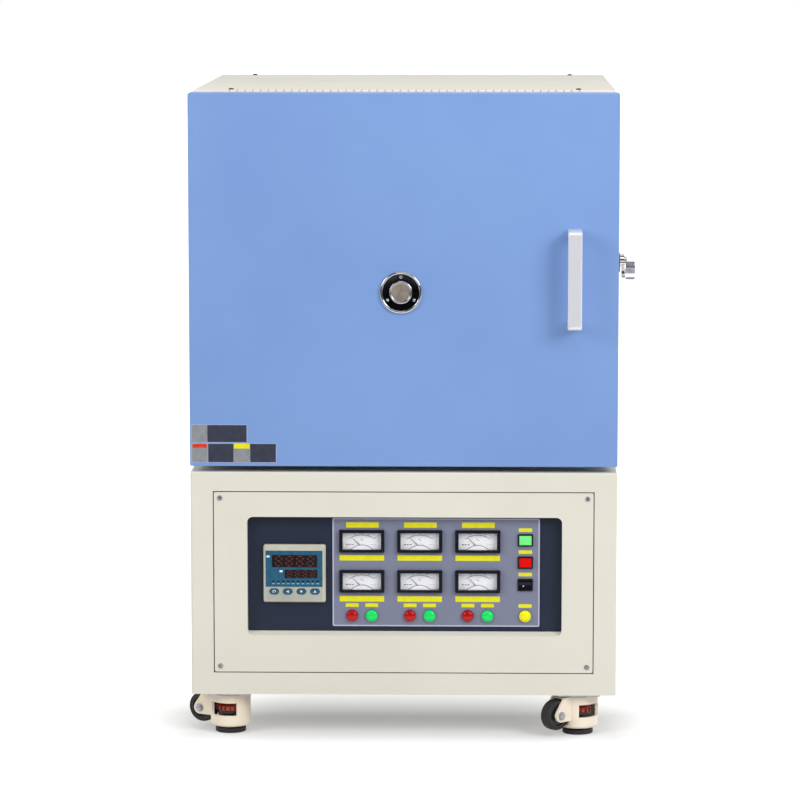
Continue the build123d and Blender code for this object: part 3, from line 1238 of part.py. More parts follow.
with BuildPart() as gland:
    with BuildSketch(across(BACK)):
        with Locations((GLAND_X, GLAND_Z)):
            RegularPolygon(GLAND_NUT, GLAND_FLAT_COUNT)
    extrude(amount=-GLAND_REACH)
    chamfer(gland.faces().sort_by(Axis.Y)[-1].edges(), GLAND_CHAMFER)
    with BuildSketch(across(BACK)):
        with Locations((GLAND_X, GLAND_Z)):
            Circle(GLAND_THREAD)
    extrude(amount=SHEET)
    with BuildSketch(across(BACK - SHEET)):
        with Locations((GLAND_X, GLAND_Z)):
            RegularPolygon(GLAND_NUT, GLAND_FLAT_COUNT)
    extrude(amount=GLAND_INSIDE)
    with BuildSketch(across(BACK + GLAND_REACH)):
        with Locations((GLAND_X, GLAND_Z)):
            Circle(GLAND_BORE)
    extrude(amount=GLAND_REACH + SHEET + GLAND_INSIDE, mode=Mode.SUBTRACT)
save(gland.part, "cable_gland")

with BuildPart() as transformer:
    core_width, core_depth, core_height = CORE_SIZE
    with BuildSketch(across(CORE_Y)):
        with Locations((CORE_X, STANCE + SHEET + core_height / 2)):
            Rectangle(core_width, core_height)
            with GridLocations((core_width - CORE_LIMB) / 2, 1, 2, 1):
                Rectangle((core_width - 3 * CORE_LIMB) / 2, core_height - 2 * CORE_LIMB, mode=Mode.SUBTRACT)
    extrude(amount=-core_depth)
    coil_floor = STANCE + SHEET + CORE_LIMB
    with BuildSketch(Plane.XY.offset(coil_floor)):
        with Locations((CORE_X, CORE_Y + core_depth / 2)):
            RectangleRounded(core_width - 2 * CORE_LIMB, core_depth + 2 * COIL_BULGE, COIL_CORNER)
    extrude(amount=core_height - 2 * CORE_LIMB)
save(transformer.part, "power_transformer")
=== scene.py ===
"""Dresses the muffle furnace: finishes for its solids, and the fine pieces that they carry."""

import logging
import math
from dataclasses import dataclass, field
from enum import Enum
from typing import Any, Sequence

import bmesh
import bpy
from mathutils import Matrix, Vector


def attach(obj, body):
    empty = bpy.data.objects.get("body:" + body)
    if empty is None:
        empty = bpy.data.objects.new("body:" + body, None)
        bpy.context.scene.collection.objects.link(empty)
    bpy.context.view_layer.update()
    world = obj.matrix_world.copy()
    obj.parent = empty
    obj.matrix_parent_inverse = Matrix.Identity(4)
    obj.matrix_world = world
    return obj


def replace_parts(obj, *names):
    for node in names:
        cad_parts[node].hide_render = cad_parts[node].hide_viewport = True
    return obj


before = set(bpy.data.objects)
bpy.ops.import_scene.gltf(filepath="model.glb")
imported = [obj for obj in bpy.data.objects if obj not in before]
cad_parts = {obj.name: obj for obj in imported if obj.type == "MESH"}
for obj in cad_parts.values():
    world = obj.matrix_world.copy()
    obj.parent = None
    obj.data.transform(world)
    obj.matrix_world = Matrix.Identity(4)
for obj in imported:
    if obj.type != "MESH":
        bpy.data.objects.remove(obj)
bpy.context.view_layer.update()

log = logging.getLogger("furnace")

MM = 0.001
Point2 = tuple[float, float]
Point3 = tuple[float, float, float]


# ------------------------------------------------------------------ node trees


def linear(code: str) -> tuple[float, float, float, float]:
    """Turns an sRGB hex colour into linear light.

    Args:
        code: six hex digits, with or without a leading hash.

    Returns:
        Linear red, green, blue and an alpha of one.
    """
    digits = code.lstrip("#")
    channels = [int(digits[i : i + 2], 16) / 255 for i in (0, 2, 4)]
    light = [c / 12.92 if c <= 0.04045 else ((c + 0.055) / 1.055) ** 2.4 for c in channels]
    return (light[0], light[1], light[2], 1.0)


def add(
    tree: bpy.types.NodeTree, kind: str, inputs: dict[Any, Any] | None = None, **settings: Any
) -> bpy.types.Node:
    """Adds one node with its settings, values and incoming links.

    Args:
        tree: the shader or geometry tree that gets the node.
        kind: the node's type name.
        inputs: input socket name or number, to a value or to the socket that feeds it.
        settings: attributes of the node itself.

    Returns:
        The new node.
    """
    made = tree.nodes.new(kind)
    for name, value in settings.items():
        setattr(made, name, value)
    for key, value in (inputs or {}).items():
        socket = made.inputs[key]
        if isinstance(value, bpy.types.NodeSocket):
            tree.links.new(value, socket)
        else:
            socket.default_value = value
    return made


def ramp(
    tree: bpy.types.NodeTree, fac: bpy.types.NodeSocket, stops: Sequence[tuple[float, Any]]
) -> bpy.types.NodeSocket:
    """Adds a colour ramp.

    Args:
        tree: the shader tree.
        fac: the value that is looked up.
        stops: positions and linear colours, in rising order.

    Returns:
        The ramp's colour socket.
    """
    made = add(tree, "ShaderNodeValToRGB", {"Fac": fac})
    band = made.color_ramp
    while len(band.elements) < len(stops):
        band.elements.new(0.5)
    for element, (place, colour) in zip(band.elements, stops):
        element.position = place
        element.color = colour
    return made.outputs["Color"]


def grey(value: float) -> tuple[float, float, float, float]:
    """A linear grey for ramps that carry a plain number."""
    return (value, value, value, 1.0)


def fresh(name: str) -> tuple[bpy.types.Material, bpy.types.NodeTree, bpy.types.Node]:
    """Starts a material with one Principled shader.

    Args:
        name: the material's name, its finish in plain words.

    Returns:
        The material, its tree and its shader node.
    """
    made = bpy.data.materials.new(name)
    made.use_nodes = True
    tree = made.node_tree
    tree.nodes.clear()
    shader = add(tree, "ShaderNodeBsdfPrincipled")
    add(tree, "ShaderNodeOutputMaterial", {"Surface": shader.outputs["BSDF"]})
    return made, tree, shader


def feed(tree: bpy.types.NodeTree, shader: bpy.types.Node, **sockets: Any) -> None:
    """Sets or links inputs of a shader, named with underscores for spaces."""
    for name, value in sockets.items():
        socket = shader.inputs[name.replace("_", " ")]
        if isinstance(value, bpy.types.NodeSocket):
            tree.links.new(value, socket)
        else:
            socket.default_value = value


def noise(
    tree: bpy.types.NodeTree,
    grain_mm: float,
    detail: float = 2.0,
    stretch: Point3 = (1.0, 1.0, 1.0),
    roughness: float = 0.5,
) -> bpy.types.NodeSocket:
    """Adds noise on object coordinates.

    Args:
        tree: the shader tree.
        grain_mm: size of one feature.
        detail: octaves.
        stretch: factor on the density along each axis, under one for long streaks.
        roughness: weight of the finer octaves.

    Returns:
        The noise value.
    """
    place = add(tree, "ShaderNodeTexCoord").outputs["Object"]
    mapped = add(tree, "ShaderNodeMapping", {"Vector": place, "Scale": stretch}).outputs["Vector"]
    made = add(
        tree,
        "ShaderNodeTexNoise",
        {"Vector": mapped, "Scale": 1.0 / (grain_mm * MM), "Detail": detail, "Roughness": roughness},
    )
    return made.outputs["Fac"]


def bump(
    tree: bpy.types.NodeTree, height: bpy.types.NodeSocket, depth_mm: float, strength: float = 1.0,
    under: Any = None
) -> bpy.types.NodeSocket:
    """Adds a bump from a height.

    Args:
        tree: the shader tree.
        height: the height, from zero to one.
        depth_mm: what one stands for.
        strength: share of the bump that is used.
        under: normal of a coarser bump below this one.

    Returns:
        The normal socket.
    """
    inputs = {"Height": height, "Distance": depth_mm * MM, "Strength": strength}
    if under is not None:
        inputs["Normal"] = under
    return add(tree, "ShaderNodeBump", inputs).outputs["Normal"]


# ------------------------------------------------------------------ finishes


@dataclass(frozen=True)
class PowderCoat:
    """Baked polyester powder on steel sheet: a satin film with a soft orange peel.

    The peel is drawn about twice as coarse as the real one, so that it shows.
    """

    name: str
    colour: str
    cloud: str
    roughness: float = 0.42
    peel_mm: float = 2.2
    specular: float = 0.5

    def material(self) -> bpy.types.Material:
        """Returns the finish as a material."""
        made, tree, shader = fresh(self.name)
        cloud = ramp(tree, noise(tree, 260.0, 3.0), [(0.35, linear(self.cloud)), (0.62, linear(self.colour))])
        fleck = noise(tree, 0.9, 1.0)
        tint = add(
            tree,
            "ShaderNodeMix",
            {0: ramp(tree, fleck, [(0.56, grey(0.0)), (0.8, grey(0.10))]), 6: cloud, 7: linear(self.cloud)},
            data_type="RGBA",
        ).outputs[2]
        rough = ramp(
            tree,
            noise(tree, 70.0, 2.0),
            [(0.3, grey(self.roughness - 0.05)), (0.7, grey(self.roughness + 0.06))],
        )
        peel = bump(tree, noise(tree, self.peel_mm, 1.0), 0.05, 0.35)
        feed(
            tree, shader, Base_Color=tint, Roughness=rough, Normal=peel, IOR=1.5,
            Specular_IOR_Level=self.specular
        )
        return made


@dataclass(frozen=True)
class ScreenPrint:
    """Matt ink screen-printed on sheet: an even tone with a very fine grain."""

    name: str
    colour: str
    grain: str
    roughness: float = 0.5
    specular: float = 0.5

    def material(self) -> bpy.types.Material:
        """Returns the finish as a material."""
        made, tree, shader = fresh(self.name)
        tone = ramp(tree, noise(tree, 1.4, 3.0), [(0.36, linear(self.grain)), (0.6, linear(self.colour))])
        rough = ramp(
            tree, noise(tree, 45.0, 2.0),
            [(0.3, grey(self.roughness - 0.06)), (0.7, grey(self.roughness + 0.05))]
        )
        grain = bump(tree, noise(tree, 1.1, 1.0), 0.02, 0.3)
        feed(
            tree, shader, Base_Color=tone, Roughness=rough, Normal=grain, IOR=1.48,
            Specular_IOR_Level=self.specular
        )
        return made


@dataclass(frozen=True)
class PolishedMetal:
    """Bright plate over a buffed casting or turning: mirror-like, with faint buffing haze."""

    name: str
    colour: str
    haze: str
    roughness: float = 0.09

    def material(self) -> bpy.types.Material:
        """Returns the finish as a material."""
        made, tree, shader = fresh(self.name)
        tone = ramp(tree, noise(tree, 9.0, 3.0), [(0.34, linear(self.haze)), (0.6, linear(self.colour))])
        rough = ramp(
            tree, noise(tree, 5.0, 4.0),
            [(0.35, grey(self.roughness * 0.7)), (0.7, grey(self.roughness * 1.7))]
        )
        feed(
            tree,
            shader,
            Base_Color=tone,
            Metallic=1.0,
            Roughness=rough,
            Normal=bump(tree, noise(tree, 6.0, 1.0), 0.02, 0.25),
        )
        return made


@dataclass(frozen=True)
class GrainedMetal:
    """Metal with drawn or brushed lines along one axis, satin under them.

    The lines are drawn about 0.3 mm wide, coarser than real ones.
    """

    name: str
    colour: str
    line: str
    along: Point3 = (1.0, 1.0, 0.02)
    roughness: float = 0.3
    line_mm: float = 0.3
    metallic: float = 1.0

    def material(self) -> bpy.types.Material:
        """Returns the finish as a material."""
        made, tree, shader = fresh(self.name)
        lines = noise(tree, self.line_mm, 3.0, self.along)
        tone = ramp(tree, lines, [(0.3, linear(self.line)), (0.66, linear(self.colour))])
        rough = ramp(tree, lines, [(0.3, grey(self.roughness + 0.08)), (0.7, grey(self.roughness - 0.05))])
        feed(
            tree,
            shader,
            Base_Color=tone,
            Metallic=self.metallic,
            Roughness=rough,
            Anisotropic=0.35,
            Normal=bump(tree, lines, 0.012, 0.5),
        )
        return made


@dataclass(frozen=True)
class PlatedSteel:
    """Zinc-plated pressed steel: dull silver with a mottled spangle and darker scuffs."""

    name: str
    colour: str
    mottle: str
    roughness: float = 0.36

    def material(self) -> bpy.types.Material:
        """Returns the finish as a material."""
        made, tree, shader = fresh(self.name)
        place = add(tree, "ShaderNodeTexCoord").outputs["Object"]
        cells = add(tree, "ShaderNodeTexVoronoi", {"Vector": place, "Scale": 240.0}).outputs["Color"]
        spangle = add(tree, "ShaderNodeSeparateColor", {0: cells}).outputs[0]
        scuffs = noise(tree, 6.0, 5.0)
        both = add(tree, "ShaderNodeMath", {0: spangle, 1: scuffs}, operation="MULTIPLY").outputs[0]
        tone = ramp(tree, both, [(0.05, linear(self.mottle)), (0.45, linear(self.colour))])
        rough = ramp(tree, scuffs, [(0.3, grey(self.roughness - 0.06)), (0.72, grey(self.roughness + 0.14))])
        feed(
            tree,
            shader,
            Base_Color=tone,
            Metallic=0.65,
            Roughness=rough,
            Normal=bump(tree, scuffs, 0.03, 0.35),
        )
        return made


@dataclass(frozen=True)
class Moulding:
    """Injection-moulded plastic with a fine spark-eroded grain from its tool."""

    name: str
    colour: str
    shade: str
    roughness: float = 0.45
    grain_mm: float = 0.6
    depth_mm: float = 0.03
    coat: float = 0.0
    specular: float = 0.5

    def material(self) -> bpy.types.Material:
        """Returns the finish as a material."""
        made, tree, shader = fresh(self.name)
        tone = ramp(tree, noise(tree, 24.0, 3.0), [(0.3, linear(self.shade)), (0.65, linear(self.colour))])
        rough = ramp(
            tree, noise(tree, 12.0, 3.0),
            [(0.3, grey(self.roughness - 0.05)), (0.7, grey(self.roughness + 0.07))]
        )
        feed(
            tree,
            shader,
            Base_Color=tone,
            Roughness=rough,
            IOR=1.52,
            Specular_IOR_Level=self.specular,
            Coat_Weight=self.coat,
            Normal=bump(tree, noise(tree, self.grain_mm, 2.0), self.depth_mm, 0.4),
        )
        return made


@dataclass(frozen=True)
class LensPlastic:
    """Tinted polycarbonate lens: deep colour, glossy, with moulded facets that catch the light."""

    name: str
    colour: str
    deep: str
    glow: float = 0.12

    def material(self) -> bpy.types.Material:
        """Returns the finish as a material."""
        made, tree, shader = fresh(self.name)
        place = add(tree, "ShaderNodeTexCoord").outputs["Object"]
        cells = add(
            tree, "ShaderNodeTexVoronoi", {"Vector": place, "Scale": 560.0}, feature="F1"
        ).outputs["Distance"]
        tone = ramp(tree, cells, [(0.1, linear(self.colour)), (0.75, linear(self.deep))])
        feed(
            tree,
            shader,
            Base_Color=tone,
            Roughness=0.2,
            IOR=1.5,
            Specular_IOR_Level=0.35,
            Emission_Color=tone,
            Emission_Strength=self.glow,
            Normal=bump(tree, cells, 0.06, 0.2),
        )
        return made


@dataclass(frozen=True)
class Rubber:
    """Moulded rubber or polyurethane: near black, matt, with a bloom of dust on its faces."""

    name: str
    colour: str
    dust: str
    roughness: float = 0.72

    def material(self) -> bpy.types.Material:
        """Returns the finish as a material."""
        made, tree, shader = fresh(self.name)
        patches = noise(tree, 14.0, 5.0)
        tone = ramp(tree, patches, [(0.4, linear(self.colour)), (0.78, linear(self.dust))])
        rough = ramp(tree, patches, [(0.3, grey(self.roughness - 0.12)), (0.7, grey(self.roughness + 0.12))])
        feed(
            tree,
            shader,
            Base_Color=tone,
            Roughness=rough,
            IOR=1.52,
            Normal=bump(tree, noise(tree, 0.8, 3.0), 0.08, 0.5),
        )
        return made


@dataclass(frozen=True)
class FibreBoard:
    """Vacuum-formed ceramic fibre board: chalky off-white, with felted fibres and soft hollows."""

    name: str
    colour: str
    shade: str

    def material(self) -> bpy.types.Material:
        """Returns the finish as a material."""
        made, tree, shader = fresh(self.name)
        fibres = noise(tree, 2.6, 6.0, (0.35, 1.0, 1.0), 0.65)
        felt = noise(tree, 34.0, 4.0)
        both = add(tree, "ShaderNodeMath", {0: fibres, 1: felt}, operation="MULTIPLY").outputs[0]
        tone = ramp(tree, both, [(0.12, linear(self.shade)), (0.34, linear(self.colour))])
        coarse = bump(tree, felt, 0.8, 0.5)
        feed(
            tree, shader, Base_Color=tone, Roughness=0.94, Specular_IOR_Level=0.2,
            Normal=bump(tree, fibres, 0.5, 0.6, coarse)
        )
        return made


@dataclass(frozen=True)
class FiredCeramic:
    """Pressed and fired ceramic: gritty matt body with darker grains."""

    name: str
    colour: str
    grain: str
    grain_mm: float = 1.0
    roughness: float = 0.8

    def material(self) -> bpy.types.Material:
        """Returns the finish as a material."""
        made, tree, shader = fresh(self.name)
        place = add(tree, "ShaderNodeTexCoord").outputs["Object"]
        grit = add(tree, "ShaderNodeTexVoronoi", {"Vector": place, "Scale": 1.0 / (self.grain_mm * MM)})
        value = add(tree, "ShaderNodeSeparateColor", {0: grit.outputs["Color"]}).outputs[0]
        tone = ramp(tree, value, [(0.1, linear(self.grain)), (0.5, linear(self.colour))])
        under = bump(tree, noise(tree, 12.0, 4.0), 0.3, 0.4)
        feed(
            tree,
            shader,
            Base_Color=tone,
            Roughness=self.roughness,
            Normal=bump(tree, grit.outputs["Distance"], 0.12, 0.5, under),
        )
        return made


@dataclass(frozen=True)
class ScaledWire:
    """Resistance alloy after its first firings: dark grey-brown oxide with a dull metal glint."""

    name: str
    colour: str
    scale: str

    def material(self) -> bpy.types.Material:
        """Returns the finish as a material."""
        made, tree, shader = fresh(self.name)
        patches = noise(tree, 5.0, 5.0)
        tone = ramp(tree, patches, [(0.35, linear(self.scale)), (0.65, linear(self.colour))])
        feed(
            tree,
            shader,
            Base_Color=tone,
            Metallic=0.55,
            Roughness=ramp(tree, patches, [(0.3, grey(0.7)), (0.7, grey(0.42))]),
            Normal=bump(tree, noise(tree, 0.8, 3.0), 0.06, 0.5),
        )
        return made


@dataclass(frozen=True)
class ClearPane:
    """Thin clear pane of glass or acrylic: see-through, with soft reflections and a little haze."""

    name: str
    tint: str
    smear: str
    alpha: float
    roughness: float = 0.05

    def material(self) -> bpy.types.Material:
        """Returns the finish as a material."""
        made, tree, shader = fresh(self.name)
        smear = noise(tree, 22.0, 4.0)
        rough = ramp(tree, smear, [(0.3, grey(self.roughness)), (0.75, grey(self.roughness + 0.08))])
        tone = ramp(tree, smear, [(0.2, linear(self.tint)), (0.8, linear(self.smear))])
        feed(tree, shader, Base_Color=tone, Roughness=rough, IOR=1.5, Alpha=self.alpha, Coat_Weight=0.3)
        return made


@dataclass(frozen=True)
class FrostedGlass:
    """Ground heat-proof glass before a dim chamber: milky grey-brown with a soft speckle."""

    name: str
    colour: str
    shade: str

    def material(self) -> bpy.types.Material:
        """Returns the finish as a material."""
        made, tree, shader = fresh(self.name)
        speckle = noise(tree, 0.8, 4.0)
        tone = ramp(tree, noise(tree, 11.0, 2.0), [(0.35, linear(self.shade)), (0.62, linear(self.colour))])
        fine = add(
            tree,
            "ShaderNodeMix",
            {0: ramp(tree, speckle, [(0.45, grey(0.0)), (0.75, grey(0.35))]), 6: tone, 7: linear(self.shade)},
            data_type="RGBA",
        ).outputs[2]
        feed(
            tree, shader, Base_Color=fine, Roughness=0.32, IOR=1.5, Coat_Weight=0.2,
            Normal=bump(tree, speckle, 0.05, 0.5)
        )
        return made


@dataclass(frozen=True)
class WoundCore:
    """Laminated iron core with a varnished copper winding between its limbs."""

    name: str
    iron: str
    copper: str
    core_front: float
    core_back: float

    def material(self) -> bpy.types.Material:
        """Returns the finish as a material."""
        made, tree, shader = fresh(self.name)
        place = add(tree, "ShaderNodeTexCoord").outputs["Object"]
        parts = add(tree, "ShaderNodeSeparateXYZ", {0: place}).outputs
        sheets = add(
            tree, "ShaderNodeTexWave", {"Vector": place, "Scale": 160.0, "Distortion": 0.4},
            bands_direction="Y"
        ).outputs["Fac"]
        turns = add(
            tree, "ShaderNodeTexWave", {"Vector": place, "Scale": 120.0, "Distortion": 0.3},
            bands_direction="Z"
        ).outputs["Fac"]
        before = add(
            tree, "ShaderNodeMath", {0: parts[1], 1: self.core_front}, operation="LESS_THAN"
        ).outputs[0]
        behind = add(
            tree, "ShaderNodeMath", {0: parts[1], 1: self.core_back}, operation="GREATER_THAN"
        ).outputs[0]
        coil = add(tree, "ShaderNodeMath", {0: before, 1: behind}, operation="MAXIMUM").outputs[0]
        iron = ramp(tree, sheets, [(0.2, linear("#1d1a18")), (0.7, linear(self.iron))])
        copper = ramp(tree, turns, [(0.15, linear("#3a1b0e")), (0.7, linear(self.copper))])
        tone = add(tree, "ShaderNodeMix", {0: coil, 6: iron, 7: copper}, data_type="RGBA").outputs[2]
        height = add(tree, "ShaderNodeMix", {0: coil, 2: sheets, 3: turns}).outputs[0]
        feed(tree, shader, Base_Color=tone, Roughness=0.42, Metallic=0.4, Normal=bump(tree, height, 0.4, 0.6))
        return made


@dataclass(frozen=True)
class Vinyl:
    """Self-adhesive vinyl label: solid printed colour under a satin laminate."""

    name: str
    colour: str
    shade: str
    roughness: float = 0.38

    def material(self) -> bpy.types.Material:
        """Returns the finish as a material."""
        made, tree, shader = fresh(self.name)
        tone = ramp(tree, noise(tree, 8.0, 3.0), [(0.3, linear(self.shade)), (0.6, linear(self.colour))])
        feed(
            tree,
            shader,
            Base_Color=tone,
            Roughness=ramp(
                tree, noise(tree, 3.0, 2.0),
                [(0.3, grey(self.roughness - 0.05)), (0.7, grey(self.roughness + 0.08))]
            ),
            Normal=bump(tree, noise(tree, 2.0, 2.0), 0.02, 0.3),
        )
        return made


@dataclass(frozen=True)
class Segment:
    """Light-emitting segment behind a smoked window, barely lit."""

    name: str
    colour: str
    glow: float

    def material(self) -> bpy.types.Material:
        """Returns the finish as a material."""
        made, tree, shader = fresh(self.name)
        tone = ramp(tree, noise(tree, 3.0, 2.0), [(0.3, linear(self.colour)), (0.7, linear("#ff5a3c"))])
        feed(
            tree, shader, Base_Color=linear(self.colour), Roughness=0.4, Emission_Color=tone,
            Emission_Strength=self.glow
        )
        return made


class Finish(Enum):
    """The furnace's finishes, each named for what it is and how it is made."""

    DOOR_BLUE = PowderCoat("blue_powder_coat", "#7c9ed6", "#7899d2", 0.40)
    CASING_CREAM = PowderCoat("cream_powder_coat", "#e2dfd2", "#dedbcd", 0.44)
    COVER_WHITE = PowderCoat("warm_white_powder_coat", "#efebe1", "#eae6da", 0.62, specular=0.12)
    CASTER_CREAM = PowderCoat("cream_enamelled_casting", "#fbefdc", "#f3e5cd", 0.36, 1.6)
    FASCIA_NAVY = ScreenPrint("navy_screen_print", "#232b3e", "#1f2737", specular=0.25)
    PLATE_GREY = ScreenPrint("lavender_grey_screen_print", "#7f8399", "#7a7e94", specular=0.35)
    PLATE_LINE = ScreenPrint("pale_line_screen_print", "#c6c4dc", "#b8b6d0")
    CHROME = PolishedMetal("bright_chrome_plate", "#d9d9dc", "#c6c7cc")
    # Dark chrome of the port's dish is a painted reflection: it stands in for the dark surroundings that the
    # chrome mirrors.
    REFLECTION_DARKENED_CHROME = PolishedMetal("chrome_darkened_for_painted_reflection", "#3a3a40", "#24242a", 0.14)
    HANDLE = GrainedMetal("satin_anodised_aluminium", "#ebebf1", "#e0e0e8", roughness=0.42, metallic=0.4)
    ZINC = PlatedSteel("zinc_plated_steel", "#bcbdbf", "#a2a3a6")
    SCREW = PlatedSteel("nickel_plated_screw_steel", "#a8a8ab", "#85858a", 0.3)
    CHROME_SCREW = PolishedMetal("bright_screw_plate", "#cfcfd3", "#b9babf", 0.2)
    # The grip's darker chrome is a painted reflection: it stands in for the darker surroundings that the
    # chrome mirrors.
    GRIP = PolishedMetal("chrome_grip_darkened_for_painted_reflection", "#96979f", "#7e7f88", 0.24)
    # Also covers the lower half of each thumbwheel: painted shade for the dark gap under the red wheel.
    HUB_AND_THUMB_SHADE = Moulding("black_nylon_hub_and_painted_thumbwheel_shade", "#202022", "#161617", 0.42)
    BLACK_SCREW = PlatedSteel("blackened_screw_steel", "#2a2a2c", "#151516", 0.4)
    FIBRE = FibreBoard("ceramic_fibre_board", "#ece8dd", "#dcd7ca")
    CARBIDE = FiredCeramic("silicon_carbide_plate", "#4b4a49", "#2c2b2b", 0.9, 0.62)
    ALUMINA = FiredCeramic("alumina_sheath", "#e2dccd", "#cfc8b7", 0.7, 0.5)
    HEATER = ScaledWire("oxidised_resistance_wire", "#6c5c52", "#3b322d")
    CONTROLLER = Moulding("beige_grey_abs", "#c9c7b6", "#bbb9a8", 0.42)
    KEY_FIELD = Moulding("pale_grey_key_film", "#b4b6ab", "#a7a99e", 0.4)
    BLACK_ABS = Moulding("black_abs", "#0e111c", "#090b14", 0.28, specular=0.2)
    SWITCH_BLACK = Moulding("black_nylon_switch", "#0f1018", "#090a10", 0.42, specular=0.25)
    GLAND = Moulding("black_nylon_gland", "#1d1d1e", "#141415", 0.5)
    GREEN_CAP = Moulding("green_push_cap", "#7df88a", "#70ee80", 0.4, specular=0.3)
    RED_CAP = Moulding("red_push_cap", "#e60604", "#d60403", 0.3, specular=0.15)
    RED_LENS = LensPlastic("red_lamp_lens", "#b40206", "#a00205", 0.16)
    GREEN_LENS = LensPlastic("green_lamp_lens", "#0ce66c", "#08d260", 0.12)
    YELLOW_LENS = LensPlastic("yellow_lamp_lens", "#f6f010", "#ece404", 0.08)
    RUBBER = Rubber("black_rubber", "#18181a", "#2c2b2c")
    PAD_RUBBER = Rubber("dark_rubber_pad", "#232023", "#38343a")
    THUMB_RED = Moulding("red_nylon_thumbwheel", "#d8401e", "#a82410", 0.42)
    PORT_GLASS = FrostedGlass("ground_port_glass", "#958a80", "#7b7269")
    METER_GLASS = ClearPane("clear_meter_window", "#e8edf4", "#f4f6fa", 0.05)
    DISPLAY = Moulding("smoked_display_window", "#150f11", "#0e090b", 0.24, specular=0.25)
    DIAL = Vinyl("white_dial_card", "#fcfcff", "#f6f6fc", 0.5)
    DIAL_INK = Vinyl("dial_ink", "#26262e", "#1c1c22", 0.5)
    NEEDLE = Vinyl("dark_red_needle_paint", "#571015", "#3d0a0e", 0.4)
    TEAL = Vinyl("teal_printed_film", "#135a78", "#0f4a66", 0.3)
    WHITE_MARKS = Vinyl("white_marking", "#e8f0f4", "#d2dde4", 0.4)
    PALE_INK = Vinyl("pale_blue_ink", "#8fb4c6", "#7aa2b6", 0.4)
    LABEL_YELLOW = Vinyl("yellow_label_vinyl", "#ece604", "#e2dc00")
    DIAL_GREY_MARKS = Vinyl("grey_dial_marks", "#9a9ba6", "#8c8d98", 0.5)
    # Also makes the dark discs at the cover's vent holes: painted shade inside the holes.
    GASKET_AND_HOLE_SHADE = Rubber("black_panel_gasket_and_painted_hole_shade", "#0a0908", "#141312", 0.8)
    LABEL_EDGE = Vinyl("pale_label_edge", "#a3aed0", "#98a4c8")
    LABEL_GREY = Vinyl("grey_label_vinyl", "#8f9296", "#84878b")
    LABEL_NAVY = Vinyl("navy_label_vinyl", "#34384a", "#2c3040")
    LABEL_RED = Vinyl("red_label_vinyl", "#e03a1c", "#cc3016")
    SEGMENT_RED = Segment("red_display_segment", "#54140e", 0.04)
    SEGMENT_ORANGE = Segment("orange_display_segment", "#58180e", 0.04)
    TRANSFORMER = WoundCore("varnished_transformer", "#4a443f", "#a4542a", 0.151, 0.209)

    @property
    def material(self) -> bpy.types.Material:
        """The finish's material, made when it is first asked for."""
        made = bpy.data.materials.get(self.value.name)
        return made or self.value.material()


NODE_FINISHES: dict[str, Finish] = {
    "furnace_casing": Finish.CASING_CREAM,
    "top_cover": Finish.COVER_WHITE,
    "panel_screws": Finish.SCREW,
    "chamber_lining": Finish.FIBRE,
    "hearth_plate": Finish.CARBIDE,
    "heating_elements": Finish.HEATER,
    "thermocouple": Finish.ALUMINA,
    "cabinet_shell": Finish.CASING_CREAM,
    "cabinet_rear_panel": Finish.CASING_CREAM,
    "control_panel": Finish.CASING_CREAM,
    "fascia_panel": Finish.FASCIA_NAVY,
    "meter_plate": Finish.PLATE_GREY,
    "controller_case": Finish.CONTROLLER,
    "controller_display": Finish.DISPLAY,
    "meter_cases": Finish.BLACK_ABS,
    "meter_dials": Finish.DIAL,
    "meter_windows": Finish.METER_GLASS,
    "lamp_bezels": Finish.BLACK_ABS,
    "red_lamp_lenses": Finish.RED_LENS,
    "green_lamp_lenses": Finish.GREEN_LENS,
    "yellow_lamp_lens": Finish.YELLOW_LENS,
    "switch_housings": Finish.SWITCH_BLACK,
    "power_transformer": Finish.TRANSFORMER,
    "caster_plates": Finish.ZINC,
    "hinge_brackets": Finish.ZINC,
    "latch_base": Finish.CHROME,
    "cable_gland": Finish.GLAND,
    "door_skin": Finish.DOOR_BLUE,
    "door_insulation": Finish.FIBRE,
    "door_hinge_leaves": Finish.ZINC,
    "door_handle": Finish.HANDLE,
    "viewport_bezel": Finish.CHROME,
    "viewport_glass": Finish.PORT_GLASS,
    "latch_strike": Finish.CHROME,
    "latch_lever": Finish.CHROME,
    "start_button": Finish.GREEN_CAP,
    "stop_button": Finish.RED_CAP,
    "power_rocker": Finish.BLACK_ABS,
    "mode_key": Finish.TEAL,
    "shift_key": Finish.TEAL,
    "down_key": Finish.TEAL,
    "up_key": Finish.TEAL,
    **{f"meter_needle_{number}": Finish.NEEDLE for number in range(1, 7)},
}
CORNERS = ("front_left", "front_right", "rear_left", "rear_right")
for corner_name in CORNERS:
    NODE_FINISHES[f"caster_fork_{corner_name}"] = Finish.CASTER_CREAM
    NODE_FINISHES[f"caster_wheel_{corner_name}"] = Finish.RUBBER
    NODE_FINISHES[f"levelling_foot_{corner_name}"] = Finish.PAD_RUBBER


# ------------------------------------------------------------------ shapes


class Facing(Enum):
    """Which way a detail looks: its own x, y and z axes in the furnace's frame."""

    FRONT = ((1, 0, 0), (0, 0, 1), (0, -1, 0))
    BACK = ((-1, 0, 0), (0, 0, 1), (0, 1, 0))
    RIGHT = ((0, 1, 0), (0, 0, 1), (1, 0, 0))
    UP = ((1, 0, 0), (0, 1, 0), (0, 0, 1))

    def seat(self, place: Point3, turn: float = 0.0) -> Matrix:
        """Gives the matrix from a detail's own axes, in millimetres, to the furnace's frame.

        Args:
            place: the detail's origin, in millimetres.
            turn: degrees about its own z.

        Returns:
            The matrix, which also turns millimetres to metres.
        """
        made = Matrix([Vector(axis) for axis in self.value]).transposed().to_4x4()
        made.translation = Vector(place) * MM
        return made @ Matrix.Rotation(math.radians(turn), 4, "Z") @ Matrix.Diagonal((MM, MM, MM, 1.0))


